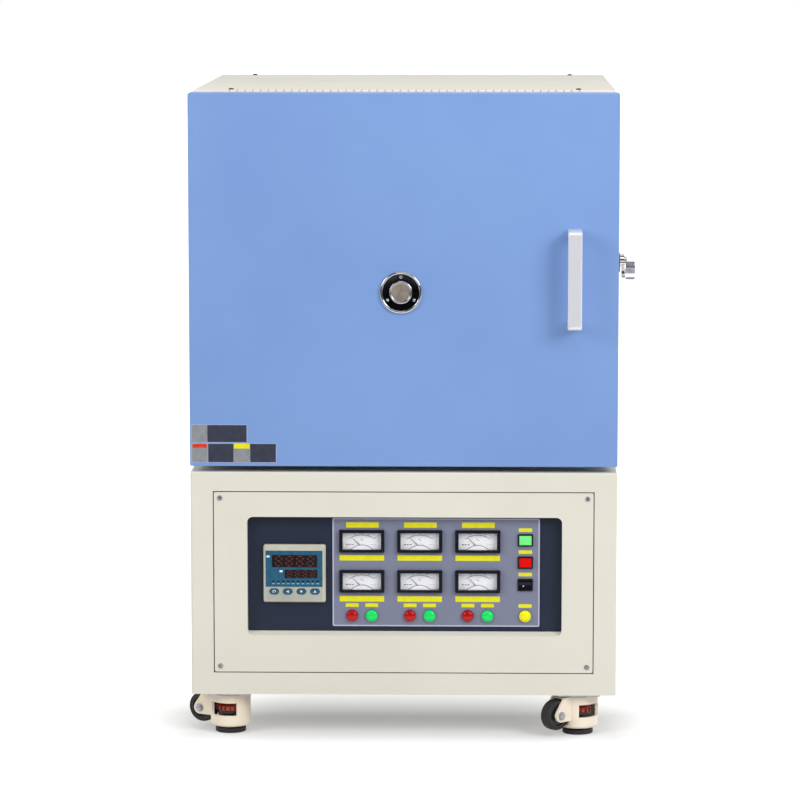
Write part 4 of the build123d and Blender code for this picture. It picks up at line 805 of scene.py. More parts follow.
def leaning(place: Point3, out: Point3, up: Point3 = (0.0, 0.0, 1.0)) -> Matrix:
    """Gives a seat whose z runs along any direction.

    Args:
        place: its origin, in millimetres.
        out: the direction of its z.
        up: a direction near its y.

    Returns:
        The matrix, which also turns millimetres to metres.
    """
    z = Vector(out).normalized()
    x = Vector(up).cross(z).normalized()
    made = Matrix([x, z.cross(x), z]).transposed().to_4x4()
    made.translation = Vector(place) * MM
    return made @ Matrix.Diagonal((MM, MM, MM, 1.0))


def rounded(
    width: float, height: float, radius: float, at: Point2 = (0.0, 0.0), steps: int = 5
) -> list[Point2]:
    """Outline of a rectangle with round corners.

    Args:
        width: along x.
        height: along y.
        radius: of the corners.
        at: its middle.
        steps: points on each corner.

    Returns:
        The outline's points, turning left.
    """
    points = []
    for corner, (side_x, side_y) in enumerate(((1, 1), (-1, 1), (-1, -1), (1, -1))):
        middle = (at[0] + side_x * (width / 2 - radius), at[1] + side_y * (height / 2 - radius))
        for step in range(steps):
            turn = math.pi / 2 * (corner + step / (steps - 1))
            points.append((middle[0] + radius * math.cos(turn), middle[1] + radius * math.sin(turn)))
    return points


def circle(radius: float, steps: int = 40, at: Point2 = (0.0, 0.0), squash: float = 1.0) -> list[Point2]:
    """Outline of a circle, or of an ellipse where squash isn't one."""
    turns = [2 * math.pi * step / steps for step in range(steps)]
    return [(at[0] + radius * math.cos(turn), at[1] + squash * radius * math.sin(turn)) for turn in turns]


def arc_band(
    radius: float, width: float, start: float, end: float, steps: int = 40, at: Point2 = (0.0, 0.0)
) -> list[Point2]:
    """Outline of a bent strip.

    Args:
        radius: of its middle line.
        width: of the strip.
        start: degrees from upright, leftwards, of its one end.
        end: degrees from upright of its other end.
        steps: pieces along it.
        at: the bend's centre.

    Returns:
        The outline's points.
    """
    turns = [math.radians(90.0 + start + (end - start) * step / steps) for step in range(steps + 1)]
    outer, inner = radius + width / 2, radius - width / 2
    points = [(at[0] + outer * math.cos(turn), at[1] + outer * math.sin(turn)) for turn in turns]
    return points + [
        (at[0] + inner * math.cos(turn), at[1] + inner * math.sin(turn)) for turn in reversed(turns)
    ]


@dataclass
class Piece:
    """One finished piece while it is made, in millimetres on its own axes."""

    name: str
    body: str
    finishes: tuple[Finish, ...]
    shape: bmesh.types.BMesh = field(default_factory=bmesh.new)

    def slab(
        self, outline: Sequence[Point2], depth: float, base: float = 0.0, bevel: float = 0.0, finish: int = 0
    ) -> "Piece":
        """Adds a plate with an eased top edge.

        Args:
            outline: its corners.
            depth: its thickness.
            base: height of its underside.
            bevel: width of the eased edge.
            finish: number of its finish.

        Returns:
            The piece.
        """
        count = len(outline)
        levels = [(base, 0.0), (base + depth - bevel, 0.0)]
        if bevel:
            levels.append((base + depth, bevel))
        rings = []
        for height, inset in levels:
            ring = []
            for index, point in enumerate(outline):
                here = Vector(point)
                before = (here - Vector(outline[index - 1])).normalized()
                after = (Vector(outline[(index + 1) % count]) - here).normalized()
                inward = Vector((-before.y - after.y, before.x + after.x))
                inward = inward.normalized() * inset if inset and inward.length else Vector((0.0, 0.0))
                ring.append(self.shape.verts.new((here.x + inward.x, here.y + inward.y, height)))
            rings.append(ring)
        made = []
        for low, high in zip(rings, rings[1:]):
            for index in range(count):
                after = (index + 1) % count
                made.append(self.shape.faces.new((low[index], low[after], high[after], high[index])))
        made.append(self.shape.faces.new(list(reversed(rings[0]))))
        made.append(self.shape.faces.new(rings[-1]))
        for face in made:
            face.material_index = finish
        return self

    def turned(
        self, profile: Sequence[Point2], steps: int = 48, finish: int = 0, at: Point2 = (0.0, 0.0),
        lift: float = 0.0
    ) -> "Piece":
        """Adds a turning about its z axis.

        Args:
            profile: radius and height of each point, from one end on the axis to the other, or a closed ring.
            steps: sides of the turning.
            finish: number of its finish.
            at: place of its axis.
            lift: added to every height.

        Returns:
            The piece.
        """
        closed = profile[0][0] > 0 or profile[-1][0] > 0
        rings = []
        for radius, height in profile:
            turns = [0.0] if radius == 0 else [2 * math.pi * step / steps for step in range(steps)]
            rings.append(
                [
                    self.shape.verts.new(
                        (at[0] + radius * math.cos(turn), at[1] + radius * math.sin(turn), height + lift)
                    )
                    for turn in turns
                ]
            )
        pairs = list(zip(rings, rings[1:])) + ([(rings[-1], rings[0])] if closed else [])
        for low, high in pairs:
            for step in range(steps):
                after = (step + 1) % steps
                corners = [
                    low[step % len(low)], low[after % len(low)], high[after % len(high)],
                    high[step % len(high)]
                ]
                unique = list(dict.fromkeys(corners))
                if len(unique) > 2:
                    self.shape.faces.new(unique).material_index = finish
        return self

    def moved(self, matrix: Matrix) -> "Piece":
        """Moves everything that the piece holds so far."""
        bmesh.ops.transform(self.shape, matrix=matrix, verts=self.shape.verts)
        return self

    def join(self, other: "Piece", matrix: Matrix, finish: int = 0) -> "Piece":
        """Adds a copy of another piece's shape.

        Args:
            other: the piece that is copied.
            matrix: where the copy goes, on this piece's axes.
            finish: added to the copy's finish numbers.

        Returns:
            The piece.
        """
        placed = [self.shape.verts.new(matrix @ corner.co) for corner in other.shape.verts]
        other.shape.verts.index_update()
        for face in other.shape.faces:
            self.shape.faces.new([placed[corner.index] for corner in face.verts]).material_index = (
                face.material_index + finish
            )
        return self

    def mesh(self, place: Matrix) -> bpy.types.Mesh:
        """Turns the shape into a mesh with outward faces and smooth curves.

        Args:
            place: seat of the piece.

        Returns:
            The mesh.
        """
        bmesh.ops.transform(self.shape, matrix=place, verts=self.shape.verts)
        bmesh.ops.recalc_face_normals(self.shape, faces=self.shape.faces)
        made = bpy.data.meshes.new(self.name)
        self.shape.to_mesh(made)
        self.shape.free()
        for finish in self.finishes:
            made.materials.append(finish.material)
        return smooth(made)

    def keep(self, place: Matrix) -> bpy.types.Object:
        """Finishes the piece and lets it ride on its body.

        Args:
            place: seat of the piece.

        Returns:
            The object, at the origin.
        """
        return settle(self.name, self.mesh(place), self.body)


def smooth(mesh: bpy.types.Mesh, angle: float = 35.0) -> bpy.types.Mesh:
    """Shades a mesh smooth except over edges sharper than an angle in degrees."""
    mesh.polygons.foreach_set("use_smooth", [True] * len(mesh.polygons))
    mesh.set_sharp_from_angle(angle=math.radians(angle))
    mesh.update()
    return mesh


def settle(name: str, mesh: bpy.types.Mesh, body: str) -> bpy.types.Object:
    """Makes the object of a finished mesh.

    Args:
        name: the object's name.
        mesh: its mesh, already in place.
        body: the body that it rides on.

    Returns:
        The object.
    """
    made = bpy.data.objects.new(name, mesh)
    bpy.context.scene.collection.objects.link(made)
    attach(made, body)
    log.info("%s rides on %s: %d faces", name, body, len(mesh.polygons))
    return made


def lettered(
    name: str, body: str, finish: Finish, items: Sequence[tuple[str, float, float, float]], place: Matrix
) -> bpy.types.Object:
    """Makes plain printed figures as thin raised ink.

    Args:
        name: the piece's name.
        body: the body that it rides on.
        finish: its ink.
        items: each text with its place and height, in millimetres on the seat's axes.
        place: the seat.

    Returns:
        The object.
    """
    whole = bmesh.new()
    for text, x, y, height in items:
        curve = bpy.data.curves.new(name, "FONT")
        curve.body = text
        curve.size = height
        curve.align_x = "CENTER"
        curve.align_y = "CENTER"
        curve.extrude = 0.02
        curve.resolution_u = 3
        holder = bpy.data.objects.new(name, curve)
        bpy.context.scene.collection.objects.link(holder)
        bpy.context.view_layer.update()
        part = bpy.data.meshes.new_from_object(holder.evaluated_get(bpy.context.evaluated_depsgraph_get()))
        part.transform(Matrix.Translation((x, y, 0.02)))
        whole.from_mesh(part)
        bpy.data.objects.remove(holder)
        bpy.data.curves.remove(curve)
        bpy.data.meshes.remove(part)
    return Piece(name, body, (finish,), whole).keep(place)


# ------------------------------------------------------------------ grown shapes


@dataclass
class Growth:
    """A Geometry Nodes tree with named inputs, which ends in plain meshes of one finish."""

    name: str
    tree: bpy.types.NodeTree = field(init=False)
    entry: bpy.types.Node = field(init=False)

    def __post_init__(self) -> None:
        """Starts the tree with its mesh and finish inputs."""
        self.tree = bpy.data.node_groups.new(self.name, "GeometryNodeTree")
        self.tree.interface.new_socket(name="Geometry", in_out="OUTPUT", socket_type="NodeSocketGeometry")
        self.tree.interface.new_socket(name="Geometry", in_out="INPUT", socket_type="NodeSocketGeometry")
        self.tree.interface.new_socket(name="Finish", in_out="INPUT", socket_type="NodeSocketMaterial")
        self.entry = add(self.tree, "NodeGroupInput")

    def value(self, name: str, kind: str = "Float", default: Any = None) -> bpy.types.NodeSocket:
        """Adds a named input.

        Args:
            name: its name.
            kind: Float, Int, Vector or Object.
            default: its value where none is given.

        Returns:
            The socket that carries it.
        """
        made = self.tree.interface.new_socket(name=name, in_out="INPUT", socket_type=f"NodeSocket{kind}")
        if default is not None:
            made.default_value = default
        return self.entry.outputs[name]

    def math(self, operation: str, *values: Any) -> bpy.types.NodeSocket:
        """Adds a sum on plain numbers."""
        return add(self.tree, "ShaderNodeMath", dict(enumerate(values)), operation=operation).outputs[0]

    def scaled(self, vector: Any, factor: Any) -> bpy.types.NodeSocket:
        """Adds a vector times a number."""
        return add(self.tree, "ShaderNodeVectorMath", {0: vector, 3: factor}, operation="SCALE").outputs[0]

    def end(self, geometry: bpy.types.NodeSocket) -> "Growth":
        """Ends the tree: makes instances real and sets the finish."""
        real = add(self.tree, "GeometryNodeRealizeInstances", {0: geometry}).outputs[0]
        dressed = add(
            self.tree, "GeometryNodeSetMaterial", {"Geometry": real, "Material": self.entry.outputs["Finish"]}
        ).outputs[0]
        add(self.tree, "NodeGroupOutput", {0: dressed})
        return self

    def grow(self, seed: bpy.types.ID, finish: Finish, **values: Any) -> bpy.types.Mesh:
        """Runs the tree once.

        Args:
            seed: the mesh or curve that it starts from.
            finish: what the result is made of.
            values: its named inputs, with underscores for spaces.

        Returns:
            A plain mesh.
        """
        holder = bpy.data.objects.new(self.name, seed)
        bpy.context.scene.collection.objects.link(holder)
        modifier = holder.modifiers.new(self.name, "NODES")
        modifier.node_group = self.tree
        given = {name.replace("_", " "): value for name, value in values.items()}
        given["Finish"] = finish.material
        for item in self.tree.interface.items_tree:
            if item.in_out == "INPUT" and item.name in given:
                modifier[item.identifier] = given[item.name]
        bpy.context.view_layer.update()
        made = bpy.data.meshes.new_from_object(holder.evaluated_get(bpy.context.evaluated_depsgraph_get()))
        holder.modifiers.remove(modifier)
        bpy.data.objects.remove(holder)
        return made


def scatter_growth() -> Growth:
    """Returns a tree that sets one shape on every point, each turned by a fixed chance about its own z."""
    made = Growth("set_on_points")
    shape = made.value("Shape", "Object")
    spread = made.value("Spread", "Float", 360.0)
    seed = made.value("Seed", "Int", 7)
    turn = add(
        made.tree,
        "FunctionNodeRandomValue",
        {2: 0.0, 3: made.math("RADIANS", spread), "Seed": seed},
        data_type="FLOAT",
    ).outputs[1]
    rotation = add(made.tree, "ShaderNodeCombineXYZ", {"Z": turn}).outputs[0]
    source = add(made.tree, "GeometryNodeObjectInfo", {"Object": shape}).outputs["Geometry"]
    points = add(
        made.tree,
        "GeometryNodeInstanceOnPoints",
        {"Points": made.entry.outputs["Geometry"], "Instance": source, "Rotation": rotation},
    ).outputs[0]
    return made.end(points)


def ring_growth() -> Growth:
    """Returns a tree that sets raised ribs round a circle."""
    made = Growth("ribs_round_a_circle")
    count = made.value("Count", "Int", 24)
    radius = made.value("Radius")
    rib = made.value("Rib", "Vector", (1.0, 1.0, 1.0))
    lift = made.value("Lift")
    ring = add(made.tree, "GeometryNodeMeshCircle", {"Vertices": count, "Radius": radius}).outputs[0]
    place = add(made.tree, "GeometryNodeInputPosition").outputs[0]
    turn = add(made.tree, "FunctionNodeAlignRotationToVector", {"Vector": place}, axis="X").outputs[0]
    block = add(made.tree, "GeometryNodeMeshCube", {"Size": rib}).outputs[0]
    ribs = add(
        made.tree, "GeometryNodeInstanceOnPoints", {"Points": ring, "Instance": block, "Rotation": turn}
    ).outputs[0]
    raised = add(made.tree, "ShaderNodeCombineXYZ", {"Z": lift}).outputs[0]
    moved = add(made.tree, "GeometryNodeTransform", {"Geometry": ribs, "Translation": raised}).outputs[0]
    return made.end(moved)


def dial_growth() -> Growth:
    """Returns a tree that sets a meter's scale marks along an arc, every fifth one longer."""
    made = Growth("scale_marks_on_an_arc")
    count = made.value("Count", "Int", 21)
    radius = made.value("Radius")
    sweep = made.value("Sweep", "Float", 90.0)
    mark = made.value("Mark", "Vector", (0.25, 1.4, 0.04))
    every = made.value("Every", "Int", 5)
    points = add(made.tree, "GeometryNodeMeshLine", {"Count": count}).outputs[0]
    index = add(made.tree, "GeometryNodeInputIndex").outputs[0]
    share = made.math("DIVIDE", index, made.math("SUBTRACT", count, 1.0))
    turn = made.math("RADIANS", made.math("MULTIPLY", made.math("SUBTRACT", 0.5, share), sweep))
    place = add(
        made.tree,
        "ShaderNodeCombineXYZ",
        {
            "X": made.math("MULTIPLY", made.math("SINE", turn), made.math("MULTIPLY", radius, -1.0)),
            "Y": made.math("MULTIPLY", made.math("COSINE", turn), radius),
        },
    ).outputs[0]
    laid = add(made.tree, "GeometryNodeSetPosition", {"Geometry": points, "Position": place}).outputs[0]
    long = made.math("COMPARE", made.math("FLOORED_MODULO", index, every), 0.0, 0.1)
    length = made.math("ADD", 1.0, made.math("MULTIPLY", long, 0.9))
    scale = add(made.tree, "ShaderNodeCombineXYZ", {"X": 1.0, "Y": length, "Z": 1.0}).outputs[0]
    rotation = add(made.tree, "ShaderNodeCombineXYZ", {"Z": turn}).outputs[0]
    block = add(made.tree, "GeometryNodeMeshCube", {"Size": mark}).outputs[0]
    up = add(
        made.tree, "ShaderNodeVectorMath", {0: mark, 1: (0.0, 0.5, 0.0)}, operation="MULTIPLY"
    ).outputs[0]
    standing = add(made.tree, "GeometryNodeTransform", {"Geometry": block, "Translation": up}).outputs[0]
    marks = add(
        made.tree,
        "GeometryNodeInstanceOnPoints",
        {"Points": laid, "Instance": standing, "Rotation": rotation, "Scale": scale},
    ).outputs[0]
    return made.end(marks)


def coil_growth() -> Growth:
    """Returns a tree that winds a wire round a path."""
    made = Growth("wire_wound_round_a_path")
    step = made.value("Step", "Float", 1.0)
    turns = made.value("Turns", "Float", 100.0)
    radius = made.value("Radius")
    wire = made.value("Wire")
    path = add(
        made.tree,
        "GeometryNodeResampleCurve",
        {"Curve": made.entry.outputs["Geometry"], "Length": step},
        mode="LENGTH",
    ).outputs[0]
    share = add(made.tree, "GeometryNodeSplineParameter").outputs["Factor"]
    angle = made.math("MULTIPLY", made.math("MULTIPLY", share, turns), 2 * math.pi)
    tangent = add(made.tree, "GeometryNodeInputTangent").outputs[0]
    side = (1.0, 0.0, 0.0)
    out = add(made.tree, "ShaderNodeVectorMath", {0: tangent, 1: side}, operation="CROSS_PRODUCT").outputs[0]
    first = made.scaled(side, made.math("MULTIPLY", made.math("COSINE", angle), radius))
    second = made.scaled(out, made.math("MULTIPLY", made.math("SINE", angle), radius))
    offset = add(made.tree, "ShaderNodeVectorMath", {0: first, 1: second}, operation="ADD").outputs[0]
    wound = add(made.tree, "GeometryNodeSetPosition", {"Geometry": path, "Offset": offset}).outputs[0]
    section = add(made.tree, "GeometryNodeCurvePrimitiveCircle", {"Resolution": 5, "Radius": wire}).outputs[0]
    tube = add(
        made.tree, "GeometryNodeCurveToMesh", {"Curve": wound, "Profile Curve": section, "Fill Caps": True}
    ).outputs[0]
    return made.end(tube)


# ------------------------------------------------------------------ studio


@dataclass
class Studio:
    """Pale floor, soft lamps and the camera."""

    floor_radius: float = 60.0
    lens_mm: float = 164.6
    camera_place: Point3 = (0.120, -5.850, 1.2155)
    pitch_degrees: float = 7.194
    yaw_degrees: float = 1.305
    ambient: float = 0.46
    backdrop: float = 0.9
    room: float = 0.08
    # The floor's glow drops to floor_glow in a box under the object's front and rises to white past the
    # reach: a painted shadow.
    floor_glow: float = 0.30
    painted_shadow_middle: Point3 = (0.0, -0.265, 0.0)
    painted_shadow_half: Point3 = (0.31, 0.065, 0.0)
    painted_shadow_reach: float = 0.24
    softboxes: tuple[tuple[str, Point3, Point3, Point2, float], ...] = (
        ("key_softbox", (2.3, -2.6, 2.1), (0.0, -0.3, 0.75), (1.5, 1.5), 62.0),
        ("fill_softbox", (-2.6, -2.4, 2.0), (0.0, -0.3, 0.7), (1.5, 1.5), 42.0),
        ("high_softbox", (0.3, -1.7, 2.3), (0.0, -0.35, 0.9), (1.6, 0.8), 9.0),
        ("right_back_softbox", (3.2, 2.0, 1.9), (0.2, 0.0, 0.6), (1.4, 1.4), 38.0),
        ("left_back_softbox", (-3.2, 2.0, 1.9), (-0.2, 0.0, 0.6), (1.4, 1.4), 38.0),
    )

    def build(self) -> None:
        """Makes the camera, the lamps, the world and the floor."""
        bpy.context.scene.view_settings.view_transform = "Standard"
        self.camera()
        for box in self.softboxes:
            self.lamp(*box)
        self.world()
        self.floor()

    def camera(self) -> None:
        """Makes the camera."""
        lens = bpy.data.cameras.new("camera")
        lens.lens = self.lens_mm
        lens.sensor_width = 36.0
        lens.clip_end = 100.0
        eye = bpy.data.objects.new("camera", lens)
        eye.location = self.camera_place
        eye.rotation_euler = (math.radians(90.0 - self.pitch_degrees), 0.0, math.radians(self.yaw_degrees))
        bpy.context.scene.collection.objects.link(eye)
        bpy.context.scene.camera = eye

    def lamp(self, name: str, place: Point3, target: Point3, size: Point2, watts: float) -> None:
        """Makes one softbox that faces its target.

        Args:
            name: the lamp's name.
            place: its middle.
            target: the point that it faces.
            size: its width and height.
            watts: its power.
        """
        light = bpy.data.lights.new(name, "AREA")
        light.shape = "RECTANGLE"
        light.size, light.size_y = size
        light.energy = watts
        holder = bpy.data.objects.new(name, light)
        holder.location = place
        holder.rotation_euler = (Vector(target) - Vector(place)).to_track_quat("-Z", "Y").to_euler()
        holder.visible_camera = False
        bpy.context.scene.collection.objects.link(holder)

    def world(self) -> None:
        """Makes a world that is white to look at, with a dim room on the camera's side of the object."""
        made = bpy.data.worlds.new("soft_studio")
        made.use_nodes = True
        tree = made.node_tree
        tree.nodes.clear()
        way = add(tree, "ShaderNodeTexCoord").outputs["Generated"]
        behind = add(tree, "ShaderNodeSeparateXYZ", {0: way}).outputs[1]
        backdrop = add(
            tree,
            "ShaderNodeMapRange",
            {
                "Value": behind, "From Min": -0.3, "From Max": 0.2, "To Min": self.room,
                "To Max": self.backdrop
            },
        ).outputs[0]
        path = add(tree, "ShaderNodeLightPath").outputs
        mirrored = add(
            tree, "ShaderNodeMix", {0: path["Is Glossy Ray"], 2: self.ambient, 3: backdrop}
        ).outputs[0]
        straight = add(
            tree, "ShaderNodeMath", {0: path["Is Camera Ray"], 1: path["Is Transmission Ray"]},
            operation="MAXIMUM"
        ).outputs[0]
        strength = add(tree, "ShaderNodeMix", {0: straight, 2: mirrored, 3: 1.0}).outputs[0]
        sky = add(tree, "ShaderNodeBackground", {"Color": (1.0, 1.0, 1.0, 1.0), "Strength": strength})
        add(tree, "ShaderNodeOutputWorld", {"Surface": sky.outputs[0]})
        bpy.context.scene.world = made

    def seen(self, tree: bpy.types.NodeTree) -> bpy.types.NodeSocket:
        """Adds a value of one for rays from the camera, a mirror or a pane.

        Args:
            tree: the world's or a material's tree.

        Returns:
            The value's socket.
        """
        path = add(tree, "ShaderNodeLightPath").outputs
        mirror = add(
            tree, "ShaderNodeMath", {0: path["Is Camera Ray"], 1: path["Is Glossy Ray"]}, operation="MAXIMUM"
        ).outputs[0]
        return add(
            tree, "ShaderNodeMath", {0: mirror, 1: path["Is Transmission Ray"]}, operation="MAXIMUM"
        ).outputs[0]

    def floor(self) -> None:
        """Makes the white floor, which keeps the object's soft shadow near it and adds a painted shadow band
        by dimming its glow in a box under the object's front.
        """
        made, tree, shader = fresh("white_studio_floor")
        place = add(tree, "ShaderNodeTexCoord").outputs["Object"]
        shift = add(
            tree, "ShaderNodeVectorMath", {0: place, 1: self.painted_shadow_middle}, operation="SUBTRACT"
        ).outputs[0]
        spot = add(tree, "ShaderNodeVectorMath", {0: shift}, operation="ABSOLUTE").outputs[0]
        past = add(
            tree, "ShaderNodeVectorMath", {0: spot, 1: self.painted_shadow_half}, operation="SUBTRACT"
        ).outputs[0]
        clear = add(
            tree, "ShaderNodeVectorMath", {0: past, 1: (0.0, 0.0, 0.0)}, operation="MAXIMUM"
        ).outputs[0]
        away = add(tree, "ShaderNodeVectorMath", {0: clear}, operation="LENGTH").outputs["Value"]
        # Painted shadow: the glow is dimmed inside the box and rises to white over the reach.
        glow = add(
            tree,
            "ShaderNodeMapRange",
            {
                "Value": away, "From Min": 0.0, "From Max": self.painted_shadow_reach, "To Min": self.floor_glow,
                "To Max": 1.05
            },
        ).outputs[0]
        ahead = add(tree, "ShaderNodeSeparateXYZ", {0: place}).outputs[1]
        dim = add(
            tree, "ShaderNodeMapRange",
            {"Value": ahead, "From Min": -2.4, "From Max": -0.6, "To Min": self.room}
        ).outputs[0]
        mirrored = add(tree, "ShaderNodeLightPath").outputs["Is Glossy Ray"]
        share = add(tree, "ShaderNodeMix", {0: mirrored, 2: 1.0, 3: dim}).outputs[0]
        near = add(tree, "ShaderNodeMath", {0: glow, 1: share}, operation="MULTIPLY").outputs[0]
        base = add(
            tree, "ShaderNodeMix", {0: share, 6: linear("#1c1c1c"), 7: linear("#c8c8c8")}, data_type="RGBA"
        ).outputs[2]
        lift = add(tree, "ShaderNodeMath", {0: self.seen(tree), 1: near}, operation="MULTIPLY").outputs[0]
        feed(
            tree,
            shader,
            Base_Color=base,
            Roughness=0.95,
            Specular_IOR_Level=0.0,
            Emission_Color=(1.0, 1.0, 1.0, 1.0),
            Emission_Strength=lift,
        )
        mesh = bpy.data.meshes.new("floor")
        corners = [
            (self.floor_radius * math.cos(turn), self.floor_radius * math.sin(turn), 0.0)
            for turn in (2 * math.pi * step / 64 for step in range(64))
        ]
        mesh.from_pydata(corners, [], [tuple(range(64))])
        mesh.materials.append(made)
        ground = bpy.data.objects.new("floor", mesh)
        bpy.context.scene.collection.objects.link(ground)


# ------------------------------------------------------------------ sub-assemblies


@dataclass
class Screws:
    """Cross-recessed pan screws of the cover, the control panel and the rear panel."""

    head_radius: float = 4.0
    head_height: float = 2.2
    cover_top: float = 987.0
    cover_middle_y: float = 28.25
    cover_pitch: Point2 = (529.0, 588.5)
    front_face: float = -350.0
    front_pitch: Point2 = (560.0, 260.0)
    front_middle_z: float = 240.0
    rear_face: float = 350.0
    rear_pitch: Point2 = (584.0, 278.0)
    rear_middle_z: float = 238.0
    leaf_faces: tuple[float, float] = (-304.5, -293.5)
    hinge_heights: tuple[float, float] = (512.0, 892.0)

    def head(self, radius: float, height: float) -> bpy.types.Object:
        """Makes one pan head with a cross recess, facing along its own z.

        Args:
            radius: of the head.
            height: of the head.

        Returns:
            The head's object, for the trees to repeat.
        """
        top = Piece("screw_head", "", (Finish.SCREW,))
        turns = (0.0, 0.35, 0.7, 1.05, 1.35)
        rim = [(radius * math.cos(turn), height * (0.35 + 0.65 * math.sin(turn))) for turn in turns]
        top.turned([(0.0, 0.0), (radius, 0.0), *rim, (0.0, height)], 20)
        body = bpy.data.objects.new("screw_head", top.mesh(Matrix.Identity(4)))
        cross = Piece("recess", "", (Finish.SCREW,))
        arm, half = radius * 0.62, radius * 0.13
        cross.slab(
            [
                (half, half), (half, arm), (-half, arm), (-half, half), (-arm, half), (-arm, -half),
                (-half, -half), (-half, -arm), (half, -arm), (half, -half), (arm, -half), (arm, half),
            ],
            height,
            height * 0.45,
        )
        cutter = bpy.data.objects.new("recess", cross.mesh(Matrix.Identity(4)))
        for made in (body, cutter):
            bpy.context.scene.collection.objects.link(made)
        cut = body.modifiers.new("recess", "BOOLEAN")
        cut.object = cutter
        cut.operation = "DIFFERENCE"
        cut.solver = "EXACT"
        bpy.context.view_layer.update()
        mesh = bpy.data.meshes.new_from_object(body.evaluated_get(bpy.context.evaluated_depsgraph_get()))
        bpy.data.objects.remove(body)
        bpy.data.objects.remove(cutter)
        return bpy.data.objects.new("screw_head", smooth(mesh))

    def grid(self, pitch: Point2, at: Point2) -> list[Point3]:
        """Gives four seats round a middle.

        Args:
            pitch: distances between the seats.
            at: the middle, on the seat's own axes.

        Returns:
            The seats.
        """
        return [(at[0] + x * pitch[0] / 2, at[1] + y * pitch[1] / 2, 0.0) for x in (-1, 1) for y in (-1, 1)]

    def set(
        self, name: str, body: str, finish: Finish, seats: Sequence[Point3], place: Matrix, size: Point2
    ) -> bpy.types.Object:
        """Sets a head on every seat.

        Args:
            name: the piece's name.
            body: the body that it rides on.
            finish: what the screws are plated with.
            seats: points on the place's own axes.
            place: the seat's matrix.
            size: radius and height of each head.

        Returns:
            The object.
        """
        points = bpy.data.meshes.new("seats")
        points.from_pydata(seats, [], [])
        shape = self.head(*size)
        bpy.context.scene.collection.objects.link(shape)
        mesh = scatter_growth().grow(points, finish, Shape=shape, Seed=len(seats))
        bpy.data.objects.remove(shape)
        mesh.transform(place)
        return settle(name, smooth(mesh), body)

    def build(self) -> None:
        """Makes all the screws."""
        size = (self.head_radius, self.head_height)
        cover = self.set(
            "cover_screws",
            "furnace_body",
            Finish.BLACK_SCREW,
            self.grid(self.cover_pitch, (0.0, self.cover_middle_y)),
            Facing.UP.seat((0.0, 0.0, self.cover_top)),
            size,
        )
        front = self.set(
            "control_panel_screws",
            "furnace_body",
            Finish.SCREW,
            self.grid(self.front_pitch, (0.0, self.front_middle_z)),
            Facing.FRONT.seat((0.0, self.front_face, 0.0)),
            size,
        )
        rear = self.set(
            "rear_panel_screws",
            "furnace_body",
            Finish.SCREW,
            self.grid(self.rear_pitch, (0.0, self.rear_middle_z)),
            Facing.BACK.seat((0.0, self.rear_face, 0.0)),
            size,
        )
        for made in (cover, front, rear):
            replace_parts(made, "panel_screws")
        for name, body, face, facing, side in (
            ("door_leaf_screws", "door", self.leaf_faces[0], Facing.BACK, -1.0),
            ("casing_leaf_screws", "furnace_body", self.leaf_faces[1], Facing.FRONT, 1.0),
        ):
            seats = [
                (side * (-292.0 + 7.0 * (row % 2)), z + 30.0 * (row - 1), 0.0)
                for z in self.hinge_heights
                for row in range(3)
            ]
            self.set(name, body, Finish.ZINC, seats, facing.seat((0.0, face, 0.0)), (3.2, 1.4))


@dataclass
class DoorLabels:
    """Blank identification plates on the door's lower left corner."""

    face: float = -350.0
    thickness: float = 0.35

    def build(self) -> None:
        """Makes the two rows of plates, left without any marking."""
        piece = Piece(
            "door_label_plates",
            "door",
            (Finish.LABEL_EDGE, Finish.LABEL_GREY, Finish.LABEL_NAVY, Finish.LABEL_RED, Finish.LABEL_YELLOW),
        )
        top, low = (454.9, 483.0), (424.2, 454.3)
        self.cell(piece, -323.0, -237.0, top, 0, 0.0)
        self.cell(piece, -321.6, -298.0, top, 1, 1.0)
        self.cell(piece, -298.0, -238.4, top, 2, 1.0)
        self.cell(piece, -323.0, -192.5, low, 0, 0.0)
        self.cell(piece, -321.6, -298.0, low, 1, 1.0)
        self.cell(piece, -297.0, -258.6, low, 2, 1.0)
        self.cell(piece, -258.6, -233.0, low, 1, 1.0)
        self.cell(piece, -233.0, -194.0, low, 2, 1.0)
        self.strip(piece, -320.8, -299.0, (447.0, 453.2), 3)
        self.strip(piece, -257.6, -234.0, (446.0, 453.6), 4)
        piece.keep(Facing.FRONT.seat((0.0, self.face, 0.0)))

    def cell(self, piece: Piece, left: float, right: float, rows: Point2, finish: int, inset: float) -> None:
        """Adds one field of a plate.

        Args:
            piece: the plates.
            left: lower x.
            right: upper x.
            rows: lower and upper z.
            finish: number of its finish.
            inset: taken off above and below, which lays the field over its edge.
        """
        outline = rounded(
            right - left, rows[1] - rows[0] - 2 * inset, 0.6, ((left + right) / 2, sum(rows) / 2), 3
        )
        piece.slab(outline, self.thickness + 0.12 * bool(inset), finish=finish, bevel=0.08)

    def strip(self, piece: Piece, left: float, right: float, rows: Point2, finish: int) -> None:
        """Adds one coloured strip over a field.

        Args:
            piece: the plates.
            left: lower x.
            right: upper x.
            rows: lower and upper z.
            finish: number of its finish.
        """
        outline = rounded(right - left, rows[1] - rows[0], 0.5, ((left + right) / 2, sum(rows) / 2), 3)
        piece.slab(outline, self.thickness + 0.2, finish=finish, bevel=0.06)


